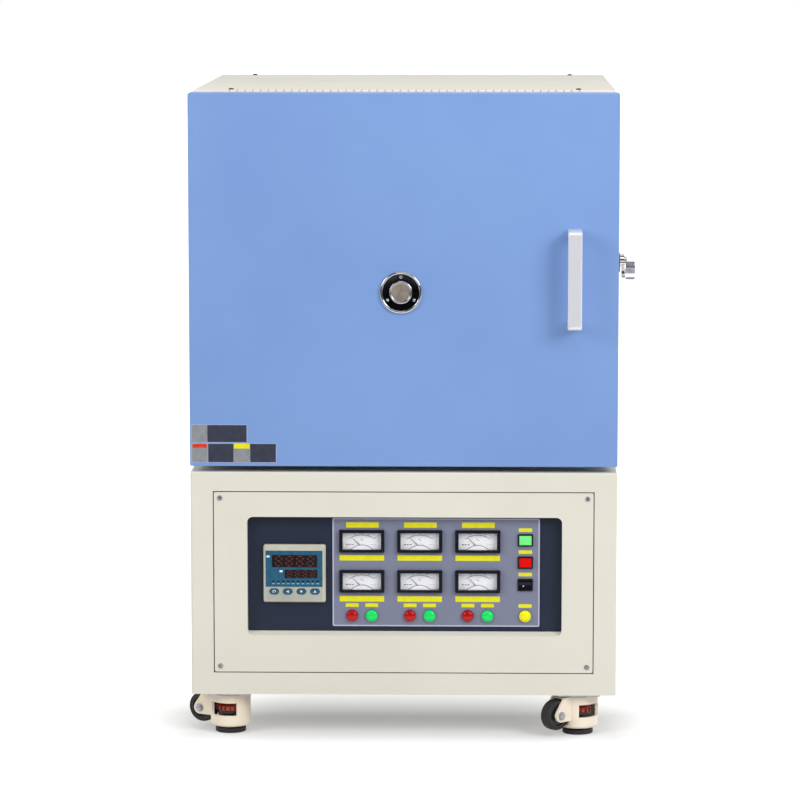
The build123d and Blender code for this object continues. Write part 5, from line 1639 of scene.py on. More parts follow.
@dataclass
class Port:
    """Viewing port: a bright rim round a dark dish, whose dark metal is a painted reflection, with three
    screws and a bright ring about the glass.
    """

    place: Point3 = (-4.0, -350.0, 685.0)
    radius: float = 32.0
    rim_width: float = 4.0
    rim_height: float = 4.5
    ring_radius: float = 17.4
    glass_radius: float = 14.0
    screw_circle: float = 23.2

    def build(self) -> None:
        """Makes the bezel's pieces."""
        seat = Facing.FRONT.seat(self.place)
        outer, inner = self.radius, self.radius - self.rim_width
        rim = Piece("port_rim", "door", (Finish.CHROME,))
        rim.turned(
            [
                (outer, 0.0),
                (outer, 2.6),
                (outer - 0.35, 3.6),
                (outer - 1.0, 4.25),
                (outer - 1.9, self.rim_height),
                (inner + 0.7, 4.3),
                (inner + 0.15, 3.8),
                (inner, 3.2),
                (inner - 0.4, 0.0),
            ],
            96,
        )
        # The dish's dark metal is a painted reflection of dark surroundings in the chrome.
        dish = Piece("port_dish", "door", (Finish.REFLECTION_DARKENED_CHROME,))
        dish.turned(
            [(inner + 0.1, 0.2), (inner + 0.1, 3.35), (24.0, 2.2), (20.0, 1.45),
             (self.ring_radius - 0.4, 1.2),
             (self.ring_radius - 0.4, 0.2)],
            96,
        )
        ring = Piece("port_ring", "door", (Finish.CHROME_SCREW,))
        glass = self.glass_radius
        ring.turned(
            [
                (self.ring_radius, -2.0),
                (self.ring_radius, 2.3),
                (self.ring_radius - 0.3, 3.0),
                (self.ring_radius - 1.0, 3.4),
                (glass + 1.3, 3.4),
                (glass + 0.4, 3.0),
                (glass, 2.4),
                (glass, -2.0),
            ],
            96,
        )
        for piece in (rim, dish, ring):
            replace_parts(piece.keep(seat), "viewport_bezel")
        turns = [math.radians(turn) for turn in (90.0, 210.0, 330.0)]
        seats = [
            (self.screw_circle * math.cos(turn), self.screw_circle * math.sin(turn), 1.6) for turn in turns
        ]
        screws = Screws()
        made = screws.set("port_screws", "door", Finish.CHROME_SCREW, seats, seat, (2.3, 1.3))


@dataclass
class VentRow:
    """Dark discs where the cover's vent holes run out over its folded front edge: painted shade inside the
    holes.
    """

    count: int = 46
    pitch: float = 11.8
    radius: float = 1.5
    place: Point2 = (-289.43, 986.43)

    def build(self) -> None:
        """Makes the row."""
        row = Piece("vent_hole_ends", "furnace_body", (Finish.GASKET_AND_HOLE_SHADE,))
        one = Piece("end", "", (Finish.GASKET_AND_HOLE_SHADE,))
        # Dark discs laid on the edge: painted shade inside each vent hole.
        one.slab(circle(self.radius, 16), 0.3, -0.2)
        for step in range(self.count):
            row.join(one, Matrix.Translation(((step - (self.count - 1) / 2) * self.pitch, 0.0, 0.0)))
        row.keep(leaning((0.0, *self.place), (0.0, -1.0, 1.0)))


@dataclass
class MeterFaces:
    """Printed scales of the six panel meters, and the white cover over each movement."""

    columns: tuple[float, ...] = (-63.8, 24.7, 113.2)
    rows: tuple[float, float] = (302.5, 240.5)
    dial_face: float = -336.0
    dial_half: Point2 = (29.3, 12.9)
    arc_drop: float = 25.0
    scale_radius: float = 34.0
    sweep: float = 70.0
    cover_lift: float = 3.35
    cover_thickness: float = 0.7
    cover_radius: float = 23.6
    cover_rise: float = 7.4
    figures: tuple[tuple[str, ...], tuple[str, ...]] = (
        ("0", "20", "40", "60", "80"), ("0", "100", "200", "300", "400")
    )

    def build(self) -> None:
        """Makes every dial's lines, figures and cover."""
        marks = dial_growth()
        scales = Piece("meter_scales", "furnace_body", (Finish.DIAL_INK, Finish.DIAL_GREY_MARKS))
        covers = Piece("movement_covers", "furnace_body", (Finish.DIAL, Finish.DIAL_INK))
        items: list[tuple[str, float, float, float]] = []
        for row, z in enumerate(self.rows):
            for x in self.columns:
                self.scale(scales, marks, (x, z))
                self.cover(covers, (x, z - self.dial_half[1]))
                items += self.numbers(row, (x, z))
        seat = Facing.FRONT.seat((0.0, self.dial_face, 0.0))
        scales.keep(seat)
        covers.keep(seat)
        lettered("meter_figures", "furnace_body", Finish.DIAL_INK, items, seat)

    def scale(self, scales: Piece, marks: Growth, at: Point2) -> None:
        """Adds one dial's arc with its marks, the small printed dashes below it and a column of grey dashes
        down its right end.

        Args:
            scales: the piece that gets them.
            marks: the tree that makes the scale's marks.
            at: the dial's middle.
        """
        x, z = at
        centre = (x, z - self.arc_drop)
        made = marks.grow(
            bpy.data.meshes.new("scale"),
            Finish.DIAL_INK,
            Count=21,
            Radius=self.scale_radius,
            Sweep=self.sweep,
            Mark=(0.24, 0.75, 0.05),
            Every=5,
        )
        made.transform(Matrix.Translation((*centre, 0.0)))
        part = bmesh.new()
        part.from_mesh(made)
        scales.join(Piece("marks", "", (Finish.DIAL_INK,), part), Matrix.Identity(4))
        scales.slab(arc_band(self.scale_radius, 0.8, self.sweep / 2, -self.sweep / 2, 36, centre), 0.04)
        for middle, width in ((-22.6, 3.8), (-18.4, 2.8), (-14.2, 3.2)):
            scales.slab(rounded(width, 1.3, 0.3, (x + middle, z - 5.7), 2), 0.04)
        for middle in (14.4, 17.6, 20.6):
            scales.slab(rounded(2.2, 0.5, 0.15, (x + middle, z - 5.7), 2), 0.04, finish=1)
        # A column of grey dashes down the dial's right end.
        for step in range(12):
            scales.slab(rounded(1.8, 0.5, 0.15, (x + 26.0, z + 10.6 - 2.0 * step), 2), 0.04, finish=1)
        wave = [(x + 0.18 * step - 2.16, z + 1.5 + 1.1 * math.sin(step / 12 * math.pi)) for step in range(25)]
        scales.slab(
            [(px, py + 0.45) for px, py in reversed(wave)] + [(px, py - 0.45) for px, py in wave], 0.04
        )

    def cover(self, covers: Piece, foot: Point2) -> None:
        """Adds the round-topped cover that hides one needle's spindle.

        Args:
            covers: the piece that gets it.
            foot: the middle of its lower edge, on the case's frame.
        """
        x, z = foot
        drop = self.cover_radius - self.cover_rise
        half = math.acos(drop / self.cover_radius)
        outline = []
        for step in range(25):
            turn = half - step * half / 12
            outline.append(
                (x - self.cover_radius * math.sin(turn), z - drop + self.cover_radius * math.cos(turn))
            )
        covers.slab(outline[::-1], self.cover_thickness, self.cover_lift)
        band = arc_band(
            self.cover_radius - 0.45, 0.9, math.degrees(half), -math.degrees(half), 24, (x, z - drop)
        )
        covers.slab(band, 0.04, self.cover_lift + self.cover_thickness, finish=1)

    def numbers(self, row: int, at: Point2) -> list[tuple[str, float, float, float]]:
        """Figures of one scale, above its arc."""
        radius = self.scale_radius + 2.7
        items = []
        for place, text in enumerate(self.figures[row]):
            turn = math.radians(self.sweep / 2 - place * self.sweep / 4)
            items.append(
                (text, at[0] - radius * math.sin(turn), at[1] - self.arc_drop + radius * math.cos(turn), 2.3)
            )
        return items


@dataclass
class PanelLabels:
    """Blank yellow strips, the line round the instrument plate, the panel's gasket and the rocker's dot.

    A meter strip is its offset from the column's middle, its z, width, height and corner radius.
    """

    face: float = -337.5
    columns: tuple[float, ...] = (-63.8, 24.7, 113.2)
    meter_strips: tuple[tuple[float, float, float, float, float], ...] = (
        (0.8, 327.2, 50.0, 8.4, 0.5),
        (0.0, 276.2, 68.0, 8.4, 0.4),
        (0.0, 212.8, 68.0, 8.6, 0.4),
        (-14.9, 202.9, 19.8, 5.6, 0.8),
        (14.9, 202.9, 19.8, 5.6, 0.8),
    )
    switch_x: float = 185.8
    switch_strips: tuple[float, ...] = (320.0, 286.0, 251.4, 202.6)
    switch_strip_size: Point2 = (20.4, 5.6)
    plate: tuple[float, float, float, float] = (49.5, 254.0, 317.0, 168.0)
    inset: tuple[float, float, float, float] = (0.0, 240.0, 578.0, 278.0)
    inset_gap: float = 1.5
    inset_seat: float = -348.0

    def build(self) -> None:
        """Makes the strips, the line, the gasket and the dot."""
        labels = Piece("panel_label_strips", "furnace_body", (Finish.LABEL_YELLOW,))
        for x in self.columns:
            for shift, z, width, height, corner in self.meter_strips:
                self.label(labels, x + shift, z, width, height, corner)
        for z in self.switch_strips:
            self.label(labels, self.switch_x, z, *self.switch_strip_size, 0.8)
        labels.keep(Facing.FRONT.seat((0.0, self.face, 0.0)))
        x, z, width, height = self.plate
        line = Piece("plate_edge_line", "furnace_body", (Finish.PLATE_LINE,))
        outer = rounded(width - 1.0, height - 1.0, 3.0, (x, z), 6)
        inner = rounded(width - 4.4, height - 4.4, 1.6, (x, z), 6)
        self.frame(line, outer, inner, 0.16)
        line.keep(Facing.FRONT.seat((0.0, self.face, 0.0)))
        gasket = Piece("panel_gasket", "furnace_body", (Finish.GASKET_AND_HOLE_SHADE,))
        x, z, width, height = self.inset
        gap = self.inset_gap - 0.1
        inner = rounded(width + 0.2, height + 0.2, 0.1, (x, z), 2)
        self.frame(gasket, rounded(width + 2 * gap, height + 2 * gap, 0.1, (x, z), 2), inner, 0.6)
        gasket.keep(Facing.FRONT.seat((0.0, self.inset_seat, 0.0)))
        # A small white dot on the rocker's face.
        dot = Piece("rocker_dot", "power_rocker", (Finish.WHITE_MARKS,))
        dot.slab(circle(1.15, 20), 0.2, -0.08)
        dot.keep(leaning((182.9, -340.34, 233.6), (0.0, -0.99, -0.139)))

    def label(self, piece: Piece, x: float, z: float, width: float, height: float, corner: float) -> None:
        """Adds one blank strip.

        Args:
            piece: the strips.
            x: of its middle.
            z: of its middle.
            width: along x.
            height: along z.
            corner: radius of its corners.
        """
        piece.slab(rounded(width, height, corner, (x, z), 3), 0.25, bevel=0.07)

    def frame(self, piece: Piece, outer: list[Point2], inner: list[Point2], depth: float) -> None:
        """Adds a flat frame between two outlines of as many points.

        Args:
            piece: what gets it.
            outer: the outline outside.
            inner: the outline inside.
            depth: its thickness.
        """
        rings = [
            [piece.shape.verts.new((x, y, height)) for x, y in outline]
            for outline, height in ((outer, 0.0), (outer, depth), (inner, depth), (inner, 0.0))
        ]
        count = len(outer)
        for low, high in zip(rings, rings[1:] + rings[:1]):
            for index in range(count):
                after = (index + 1) % count
                piece.shape.faces.new((low[index], low[after], high[after], high[index]))


@dataclass
class ControllerFace:
    """Printed film, display figures, lamps and key signs of the temperature controller."""

    middle: Point2 = (-166.6, 252.5)
    face: float = -344.0
    key_face: float = -345.2
    key_z: float = 224.9
    key_xs: tuple[float, ...] = (-197.8, -177.0, -156.2, -135.4)
    film: tuple[float, float, float, float] = (-167.4, 260.0, 87.0, 56.0)
    pv: tuple[float, float, float, float] = (-166.6, 271.8, 69.0, 19.0)
    sv: tuple[float, float, float, float] = (-156.6, 252.0, 50.0, 13.0)
    segments: dict[str, tuple[Point2, Point2]] = field(
        default_factory=lambda: {
            "top": ((0.0, 1.0), (1.0, 0.0)),
            "middle": ((0.0, 0.0), (1.0, 0.0)),
            "bottom": ((0.0, -1.0), (1.0, 0.0)),
            "upper_left": ((-0.5, 0.5), (0.0, 1.0)),
            "upper_right": ((0.5, 0.5), (0.0, 1.0)),
            "lower_left": ((-0.5, -0.5), (0.0, 1.0)),
            "lower_right": ((0.5, -0.5), (0.0, 1.0)),
        }
    )

    def build(self) -> None:
        """Makes the face."""
        seat = Facing.FRONT.seat((0.0, self.face, 0.0))
        self.film_sheet(seat)
        self.figures()
        self.small_marks(seat)
        self.keys()

    def film_sheet(self, seat: Matrix) -> None:
        """Makes the teal film with its two windows, and the pale film under the keys."""
        x, z, width, height = self.film
        left, right, low, high = x - width / 2, x + width / 2, z - height / 2, z + height / 2
        film = Piece("controller_film", "furnace_body", (Finish.TEAL, Finish.KEY_FIELD))
        px, pz, pw, ph = self.pv
        sx, sz, sw, sh = self.sv
        bands = [
            (left, right, pz + ph / 2, high),
            (left, px - pw / 2, pz - ph / 2, pz + ph / 2),
            (px + pw / 2, right, pz - ph / 2, pz + ph / 2),
            (left, right, sz + sh / 2, pz - ph / 2),
            (left, sx - sw / 2, sz - sh / 2, sz + sh / 2),
            (sx + sw / 2, right, sz - sh / 2, sz + sh / 2),
            (left, right, low, sz - sh / 2),
        ]
        for x0, x1, z0, z1 in bands:
            film.slab([(x0, z0), (x1, z0), (x1, z1), (x0, z1)], 0.22)
        self.key_field(film, left, right, low)
        made = film.keep(seat)

    def key_field(self, film: Piece, left: float, right: float, top: float) -> None:
        """Adds the pale film about the keys, left open round each key.

        Args:
            film: the piece.
            left: its left edge.
            right: its right edge.
            top: its upper edge.
        """
        bottom = top - 21.0
        half = 4.9
        edges = [left] + [edge for key in self.key_xs for edge in (key - 7.7, key + 7.7)] + [right]
        film.slab(
            [(left, bottom), (right, bottom), (right, self.key_z - half), (left, self.key_z - half)], 0.18,
            finish=1
        )
        film.slab(
            [(left, self.key_z + half), (right, self.key_z + half), (right, top), (left, top)], 0.18,
            finish=1
        )
        for x0, x1 in zip(edges[::2], edges[1::2]):
            film.slab(
                [
                    (x0, self.key_z - half), (x1, self.key_z - half), (x1, self.key_z + half),
                    (x0, self.key_z + half)
                ],
                0.18,
                finish=1,
            )

    def figures(self) -> None:
        """Makes the display's unlit seven-segment figures."""
        upper = Piece("upper_display_figures", "furnace_body", (Finish.SEGMENT_RED,))
        lower = Piece("lower_display_figures", "furnace_body", (Finish.SEGMENT_ORANGE,))
        for piece, (x, z, width, height), share in ((upper, self.pv, 0.82), (lower, self.sv, 0.82)):
            tall = height * share
            for place in range(4):
                middle = x + (place - 1.5) * width * 0.235
                self.figure(piece, (middle, z), tall * 0.56, tall * 0.94)
        front = Facing.FRONT.seat((0.0, self.face, 0.0))
        for made in (upper.keep(front), lower.keep(front)):
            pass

    def figure(self, piece: Piece, at: Point2, width: float, height: float) -> None:
        """Adds one figure of seven slanted segments.

        Args:
            piece: what gets it.
            at: its middle.
            width: between its upright segments.
            height: between its top and bottom segments.
        """
        thick, lean = width * 0.24, 0.08
        for (x, y), (run, rise) in self.segments.values():
            middle = (x * width, y * height / 2)
            long = (width - thick * 1.4) / 2 if run else (height / 2 - thick * 1.4) / 2
            ends = [(-long, 0.0), (-long + thick / 2, -thick / 2), (long - thick / 2, -thick / 2),
                    (long, 0.0),
                    (long - thick / 2, thick / 2), (-long + thick / 2, thick / 2)]
            outline = []
            for along, aside in ends:
                px, py = (along, aside) if run else (-aside, along)
                px, py = middle[0] + px, middle[1] + py
                outline.append((at[0] + px + lean * py, at[1] + py))
            piece.slab(outline, 0.05)

    def small_marks(self, seat: Matrix) -> None:
        """Makes the row of small lamps with the pale marks under them.

        Args:
            seat: matrix of the controller's front.
        """
        lamps = Piece(
            "controller_lamps", "furnace_body", (Finish.BLACK_ABS, Finish.PALE_INK, Finish.WHITE_MARKS)
        )
        for place in range(10):
            x = -199.0 + place * 7.55
            lamps.slab(rounded(4.0, 2.0, 0.4, (x, 240.6), 3), 0.32)
            lamps.slab(rounded(4.2, 1.5, 0.3, (x, 237.0), 3), 0.28, finish=1)
        lamps.slab(rounded(4.6, 3.2, 0.6, (-207.0, 279.0), 3), 0.28, finish=2)
        lamps.slab(rounded(4.6, 3.2, 0.6, (-187.2, 256.2), 3), 0.28, finish=2)
        lamps.keep(seat)

    def keys(self) -> None:
        """Makes the white signs on the four keys: a turn, and arrows to the left, down and up."""
        z = self.key_z
        for body, x, shape in (
            ("mode_key", self.key_xs[0], None),
            ("shift_key", self.key_xs[1], 90.0),
            ("down_key", self.key_xs[2], 180.0),
            ("up_key", self.key_xs[3], 0.0),
        ):
            sign = Piece(f"{body}_sign", body, (Finish.WHITE_MARKS,))
            if shape is None:
                sign.slab(arc_band(2.1, 0.9, 150.0, -120.0, 20, (x, z)), 0.08)
                sign.slab([(x - 3.0, z - 1.2), (x - 0.2, z - 2.6), (x - 0.4, z - 0.2)], 0.08)
            else:
                turn = math.radians(shape)
                corners = [(0.0, 2.3), (-2.3, -1.6), (2.3, -1.6)]
                sign.slab(
                    [
                        (
                            x + px * math.cos(turn) - py * math.sin(turn),
                            z + px * math.sin(turn) + py * math.cos(turn)
                        )
                        for px, py in corners
                    ],
                    0.08,
                )
            sign.keep(Facing.FRONT.seat((0.0, self.key_face, 0.0)))


@dataclass
class LampLenses:
    """Domed lenses of the seven indicator lamps, each with a flange over its bezel."""

    columns: tuple[float, ...] = (-63.8, 24.7, 113.2)
    spread: float = 15.0
    last: float = 185.8
    z: float = 187.0
    face: float = -340.12
    radius: float = 9.05

    def build(self) -> None:
        """Makes the lenses, one piece for each colour."""
        seat = Facing.FRONT.seat((0.0, self.face, 0.0))
        for node, slot, finish, places in (
            ("red_lamp_lenses", "red_lens", Finish.RED_LENS, [x - self.spread for x in self.columns]),
            ("green_lamp_lenses", "green_lens", Finish.GREEN_LENS, [x + self.spread for x in self.columns]),
            ("yellow_lamp_lens", "yellow_lens", Finish.YELLOW_LENS, [self.last]),
        ):
            whole = Piece(f"domed_{node}", "furnace_body", (finish,))
            for x in places:
                whole.join(self.lens(finish), Matrix.Translation((x, self.z, 0.0)))
            made = whole.keep(seat)
            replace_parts(made, node)

    def lens(self, finish: Finish) -> Piece:
        """Returns one lens about the origin."""
        rim, lens = self.radius, Piece("lens", "", (finish,))
        lens.turned(
            [(0.0, -1.9), (7.3, -1.9), (7.3, 0.0), (rim - 0.2, 0.0), (rim, 0.25), (rim, 0.8),
             (rim - 0.35, 1.15),
             (rim - 1.0, 1.25), (7.75, 1.5), (7.3, 2.3), (6.2, 3.1), (4.6, 3.7), (2.6, 4.05), (0.0, 4.15)],
            48,
        )
        return lens


@dataclass
class Casters:
    """Wheels and levelling feet of the four casters, in place of their plain solids."""

    places: dict[str, Point2] = field(
        default_factory=lambda: {
            "front_left": (-268.0, -305.0),
            "front_right": (268.0, -305.0),
            "rear_left": (-268.0, 305.0),
            "rear_right": (268.0, 305.0),
        }
    )
    yaws: dict[str, float] = field(
        default_factory=lambda: {
            "front_left": 152.0, "front_right": 222.0, "rear_left": 163.0, "rear_right": 24.0
        }
    )
    trail: float = 48.0
    wheel_radius: float = 23.5
    wheel_half: float = 9.0
    axle_z: float = 33.5
    axle_radius: float = 3.55
    arm_face: float = 14.7
    pad_radius: float = 23.5
    pad_height: float = 8.0
    stem_radius: float = 5.0
    stem_top: float = 55.0
    thumb_low: float = 27.5
    thumb_high: float = 41.5
    thumb_radius: float = 23.8

    def build(self) -> None:
        """Makes the pieces of every caster."""
        knurl = ring_growth()
        for corner in CORNERS:
            x, y = self.places[corner]
            yaw = math.radians(self.yaws[corner])
            axle = (x + self.trail * math.cos(yaw), y + self.trail * math.sin(yaw), self.axle_z)
            side = (math.sin(yaw), -math.cos(yaw), 0.0)
            self.wheel(corner, leaning(axle, side))
            self.axle_ends(corner, axle, side)
            self.foot(corner, Facing.UP.seat((x, y, 0.0), self.yaws[corner]), knurl)
            self.collar(corner, Facing.UP.seat((x, y, 0.0)))
            self.skirt(corner, Facing.UP.seat((x, y, 0.0)))

    def wheel(self, corner: str, seat: Matrix) -> None:
        """Makes one wheel: a tyre with a seam, on a dished hub.

        Args:
            corner: which caster.
            seat: at the axle, with z along it.
        """
        half, tread = self.wheel_half, self.wheel_radius
        tyre = Piece(f"tyre_{corner}", f"wheel_{corner}", (Finish.RUBBER,))
        side = [(tread - 5.6, half - 0.6), (tread - 3.4, half), (tread - 1.9, half - 0.5),
                (tread - 0.7, half - 1.9),
                (tread - 0.1, half - 4.0)]
        profile = side + [
            (tread, 0.5), (tread - 0.25, 0.0), (tread, -0.5)
        ] + [(r, -z) for r, z in reversed(side)]
        tyre.turned(profile + [(tread - 5.6, 0.0)], 64)
        hub = Piece(f"hub_{corner}", f"wheel_{corner}", (Finish.HUB_AND_THUMB_SHADE,))
        rim = [(tread - 5.5, half - 0.8), (tread - 7.4, half - 0.8), (tread - 8.2, half - 3.2),
               (9.0, half - 3.4),
               (7.6, half - 0.6), (self.axle_radius + 0.6, half - 0.2), (self.axle_radius, half - 0.8)]
        hub.turned(rim + [(r, -z) for r, z in reversed(rim)], 48)
        for piece in (tyre, hub):
            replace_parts(piece.keep(seat), f"caster_wheel_{corner}")

    def axle_ends(self, corner: str, axle: Point3, side: Point3) -> None:
        """Makes the axle bolt's head and nut outside the fork's arms.

        Args:
            corner: which caster.
            axle: middle of the axle.
            side: direction of the axle.
        """
        bolt = Piece(f"axle_bolt_{corner}", f"caster_{corner}", (Finish.ZINC,))
        for way in (1.0, -1.0):
            out = tuple(way * value for value in side)
            end = Piece("end", "", (Finish.ZINC,))
            end.slab(circle(6.6, 28), 0.9, self.arm_face, 0.2)
            end.slab(circle(5.4, 6), 3.2, self.arm_face + 0.9, 0.5)
            end.turned([(0.0, self.arm_face + 4.0), (3.0, self.arm_face + 4.0), (3.0, self.arm_face + 4.8),
                        (2.6, self.arm_face + 5.2), (0.0, self.arm_face + 5.2)], 20)
            bolt.join(end, leaning((0.0, 0.0, 0.0), out) @ Matrix.Diagonal((1 / MM, 1 / MM, 1 / MM, 1.0)))
        made = bolt.keep(Matrix.Translation(Vector(axle) * MM) @ Matrix.Diagonal((MM, MM, MM, 1.0)))

    def foot(self, corner: str, seat: Matrix, knurl: Growth) -> None:
        """Makes one levelling foot: ribbed pad, threaded stem and knurled thumbwheel.

        Args:
            corner: which caster.
            seat: on the ground, under the swivel axis.
            knurl: the tree that makes the ribs.
        """
        body = f"foot_{corner}"
        pad = Piece(f"foot_pad_{corner}", body, (Finish.PAD_RUBBER,))
        rim, top = self.pad_radius, self.pad_height
        pad.turned(
            [(0.0, 0.0), (rim - 0.8, 0.0), (rim, 0.8), (rim, 2.6), (rim - 0.6, 3.0), (rim, 3.4),
             (rim, top - 2.4),
             (rim - 0.7, top - 0.8), (rim - 2.2, top), (14.0, top), (13.0, top - 0.6), (9.0, top - 0.4),
             (7.0, top),
             (0.0, top)],
            56,
        )
        stem = Piece(f"foot_stem_{corner}", body, (Finish.ZINC,))
        profile = [(0.0, 4.0), (self.stem_radius - 0.3, 4.0)]
        height = 8.0
        while height < self.stem_top - 1.6:
            profile += [(self.stem_radius - 0.7, height), (self.stem_radius - 0.02, height + 0.75)]
            height += 1.5
        profile += [(self.stem_radius - 0.9, self.stem_top), (0.0, self.stem_top)]
        stem.turned(profile, 24)
        stem.slab(circle(9.2, 6), 4.6, top + 0.1, 0.7)
        thumb = Piece(f"thumbwheel_{corner}", body, (Finish.THUMB_RED, Finish.HUB_AND_THUMB_SHADE))
        rim = self.thumb_radius - 1.6
        middle = (self.thumb_low + self.thumb_high) / 2
        # The lower half of the thumbwheel is black: painted shade of the dark gap under the red wheel.
        thumb.turned(
            [(self.stem_radius, self.thumb_low), (rim - 4.2, self.thumb_low),
             (rim - 1.0, self.thumb_low + 2.4),
             (rim - 1.0, middle), (self.stem_radius, middle)],
            60,
            finish=1,
        )
        thumb.turned(
            [(self.stem_radius, middle), (rim - 0.6, middle), (rim, middle + 0.8),
             (rim, self.thumb_high - 1.2),
             (rim - 1.2, self.thumb_high), (self.stem_radius, self.thumb_high)],
            60,
        )
        ribs = knurl.grow(
            bpy.data.meshes.new("knurl_seed"),
            Finish.THUMB_RED,
            Count=18,
            Radius=self.thumb_radius - 1.6,
            Rib=(4.2, 2.6, self.thumb_high - middle - 1.4),
            Lift=(self.thumb_high + middle) / 2,
        )
        part = bmesh.new()
        part.from_mesh(ribs)
        thumb.join(Piece("ribs", "", (Finish.THUMB_RED,), part), Matrix.Identity(4))
        for piece in (pad, stem, thumb):
            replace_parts(piece.keep(seat), f"levelling_foot_{corner}")

    def collar(self, corner: str, seat: Matrix) -> None:
        """Makes the steel dust ring between the swivelling housing and its plate.

        Args:
            corner: which caster.
            seat: its matrix.
        """
        ring = Piece(f"swivel_ring_{corner}", "furnace_body", (Finish.ZINC,))
        ring.turned([(24.0, 61.95), (30.0, 61.95), (30.4, 61.9), (30.4, 62.6), (24.0, 62.6)], 48)
        made = ring.keep(seat)

    def skirt(self, corner: str, seat: Matrix) -> None:
        """Makes the rounded lower edge of one housing.

        Args:
            corner: which caster.
            seat: its matrix.
        """
        edge = Piece(f"housing_skirt_{corner}", f"caster_{corner}", (Finish.CASTER_CREAM,))
        edge.turned([(24.6, 14.2), (24.6, 10.6), (27.8, 10.6), (29.3, 11.1), (30.5, 12.4), (30.95, 14.2)], 56)
        edge.keep(seat)


@dataclass
class Heaters:
    """Coiled resistance wire along each side wall, in place of its plain rod."""

    x: float = 156.0
    top: float = 785.0
    pitch: float = 40.0
    rows: int = 5
    front: float = -228.0
    rear: float = 72.0
    end: float = 270.0
    radius: float = 3.5
    wire: float = 0.9

    def route(self, side: float) -> list[Point3]:
        """Centre line of one side's element, in millimetres."""
        bend = self.pitch / 2
        points = [(side * self.x, self.end, self.top)]
        for row in range(self.rows):
            turn = self.front if row % 2 == 0 else self.rear
            inward = bend if row % 2 == 0 else -bend
            z = self.top - row * self.pitch
            for step in range(9):
                angle = math.pi * step / 8
                points.append((
                    side * self.x, turn + inward - inward * math.sin(angle),
                    z - bend + bend * math.cos(angle)
                ))
        points.append((side * self.x, self.end, self.top - self.rows * self.pitch))
        return points

    def build(self) -> None:
        """Makes both coils."""
        tree = coil_growth()
        for name, side in (("left_heating_coil", -1.0), ("right_heating_coil", 1.0)):
            curve = bpy.data.curves.new(name, "CURVE")
            curve.dimensions = "3D"
            line = curve.splines.new("POLY")
            points = self.route(side)
            line.points.add(len(points) - 1)
            for point, place in zip(line.points, points):
                point.co = (*place, 1.0)
            length = sum((Vector(a) - Vector(b)).length for a, b in zip(points, points[1:]))
            made = tree.grow(
                curve, Finish.HEATER, Step=0.75, Turns=length / 5.2, Radius=self.radius, Wire=self.wire
            )
            made.transform(Matrix.Diagonal((MM, MM, MM, 1.0)))
            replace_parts(settle(name, smooth(made, 80.0), "furnace_body"), "heating_elements")


@dataclass
class Latch:
    """Cap on the side latch's spindle, and the chrome grip that rides on its lever, whose darker chrome is a
    painted reflection.
    """

    x: float = 337.6
    y: float = -278.0
    z: float = 728.0
    reach: float = 27.0
    lean: float = 30.0
    grip: Point2 = (15.0, 26.0)
    grip_low: float = 336.8
    grip_high: float = 351.1

    def build(self) -> None:
        """Makes the latch's small pieces."""
        cap = Piece("latch_spindle_cap", "furnace_body", (Finish.CHROME, Finish.BLACK_SCREW))
        cap.turned([(0.0, 0.0), (5.6, 0.0), (5.6, 1.0), (5.0, 1.7), (3.0, 2.0), (0.0, 2.0)], 36)
        cap.slab(circle(2.0, 6), 0.35, 1.75, finish=1)
        cap.keep(Facing.RIGHT.seat((self.x, self.y, self.z)))
        # The grip's darker chrome is a painted reflection.
        grip = Piece("latch_grip", "latch", (Finish.GRIP, Finish.BLACK_SCREW))
        width, height = self.grip
        low, high = self.grip_low - self.x, self.grip_high - self.x
        grip.slab(rounded(width, height, 3.0, steps=6), high - low, low, 1.4)
        grip.slab(rounded(width - 7.0, height - 11.0, 1.6, steps=5), 0.3, high - 0.15, finish=1)
        turn = math.radians(self.lean)
        place = (self.x, self.y - self.reach * math.cos(turn), self.z - self.reach * math.sin(turn))
        grip.keep(leaning(place, (1.0, 0.0, 0.0), (0.0, math.sin(turn), -math.cos(turn))))


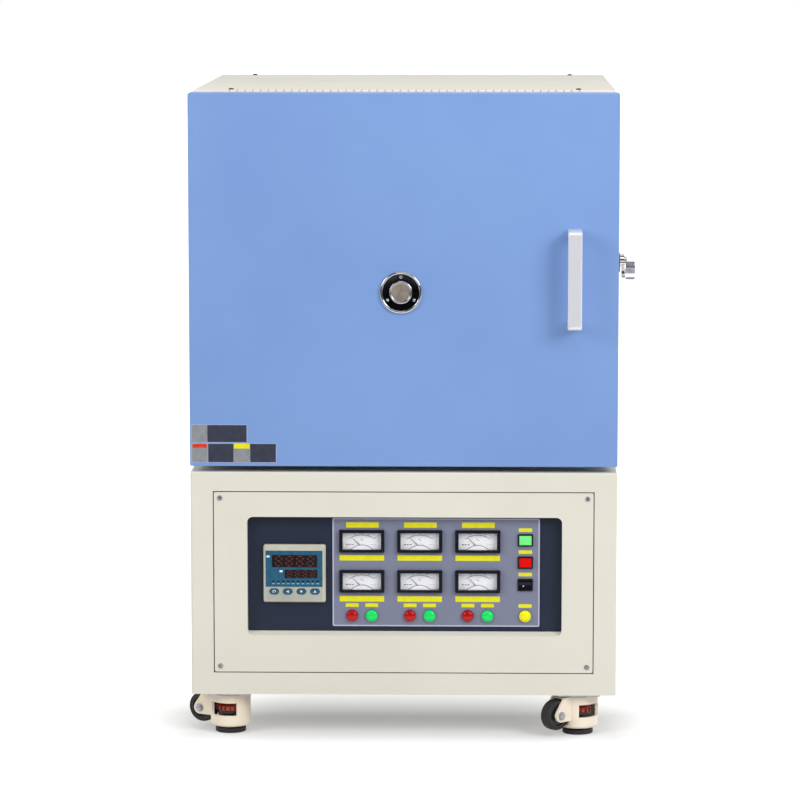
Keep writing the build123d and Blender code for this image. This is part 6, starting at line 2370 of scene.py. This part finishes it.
@dataclass
class Gland:
    """Nylon cable gland with a ribbed dome nut and a split rubber insert."""

    place: Point3 = (-240.0, 350.0, 120.0)
    reach: float = 30.0
    bore: float = 6.0

    def build(self) -> None:
        """Makes the gland outside and its lock nut inside."""
        gland = Piece("cord_gland", "furnace_body", (Finish.GLAND, Finish.RUBBER))
        self.hexagon(gland, 15.0, 0.0, 7.0)
        gland.turned(
            [(self.bore + 2.4, 7.0), (12.6, 7.0), (12.9, 8.0), (12.9, 18.0), (11.8, 22.5), (9.9, 26.0),
             (8.4, 27.6),
             (self.bore + 2.4, 27.6)],
            48,
        )
        gland.turned(
            [(self.bore, 5.0), (self.bore + 2.5, 5.0), (self.bore + 2.5, 28.6), (self.bore + 1.6, self.reach),
             (self.bore + 0.5, self.reach), (self.bore, self.reach - 0.6)],
            36,
            finish=1,
        )
        ribs = ring_growth().grow(
            bpy.data.meshes.new("gland_seed"), Finish.GLAND, Count=18, Radius=12.8, Rib=(1.2, 1.6, 9.0),
            Lift=13.0
        )
        part = bmesh.new()
        part.from_mesh(ribs)
        gland.join(Piece("ribs", "", (Finish.GLAND,), part), Matrix.Identity(4))
        gland.turned([(self.bore, -14.0), (9.95, -14.0), (9.95, 0.0), (self.bore, 0.0)], 36)
        self.hexagon(gland, 15.0, -8.0, -2.0)
        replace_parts(gland.keep(Facing.BACK.seat(self.place)), "cable_gland")

    def hexagon(self, gland: Piece, radius: float, low: float, high: float) -> None:
        """Adds one hexagonal nut with a bored middle.

        Args:
            gland: the piece.
            radius: to its corners.
            low: height of its one face.
            high: height of its other face.
        """
        middle = (low + high) / 2
        sides = [(self.bore, low), (radius - 1.0, low), (radius, low + 0.8), (radius, middle),
                 (radius, high - 0.8),
                 (radius - 1.0, high), (self.bore, high)]
        gland.turned(sides, 6)


def dress_solids() -> None:
    """Gives every carried-over solid its finish."""
    for name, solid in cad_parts.items():
        finish = NODE_FINISHES[name]
        solid.data.materials.clear()
        solid.data.materials.append(finish.material)
        log.info("%s: %s", name, finish.value.name)


def main() -> None:
    """Builds the furnace's looks in order and keeps its sizes."""
    Studio().build()
    dress_solids()
    for part in (
        Screws(),
        DoorLabels(),
        Port(),
        VentRow(),
        MeterFaces(),
        PanelLabels(),
        ControllerFace(),
        LampLenses(),
        Casters(),
        Heaters(),
        Latch(),
        Gland(),
    ):
        part.build()


if __name__ == "__main__":
    logging.basicConfig(level=logging.INFO)
    main()
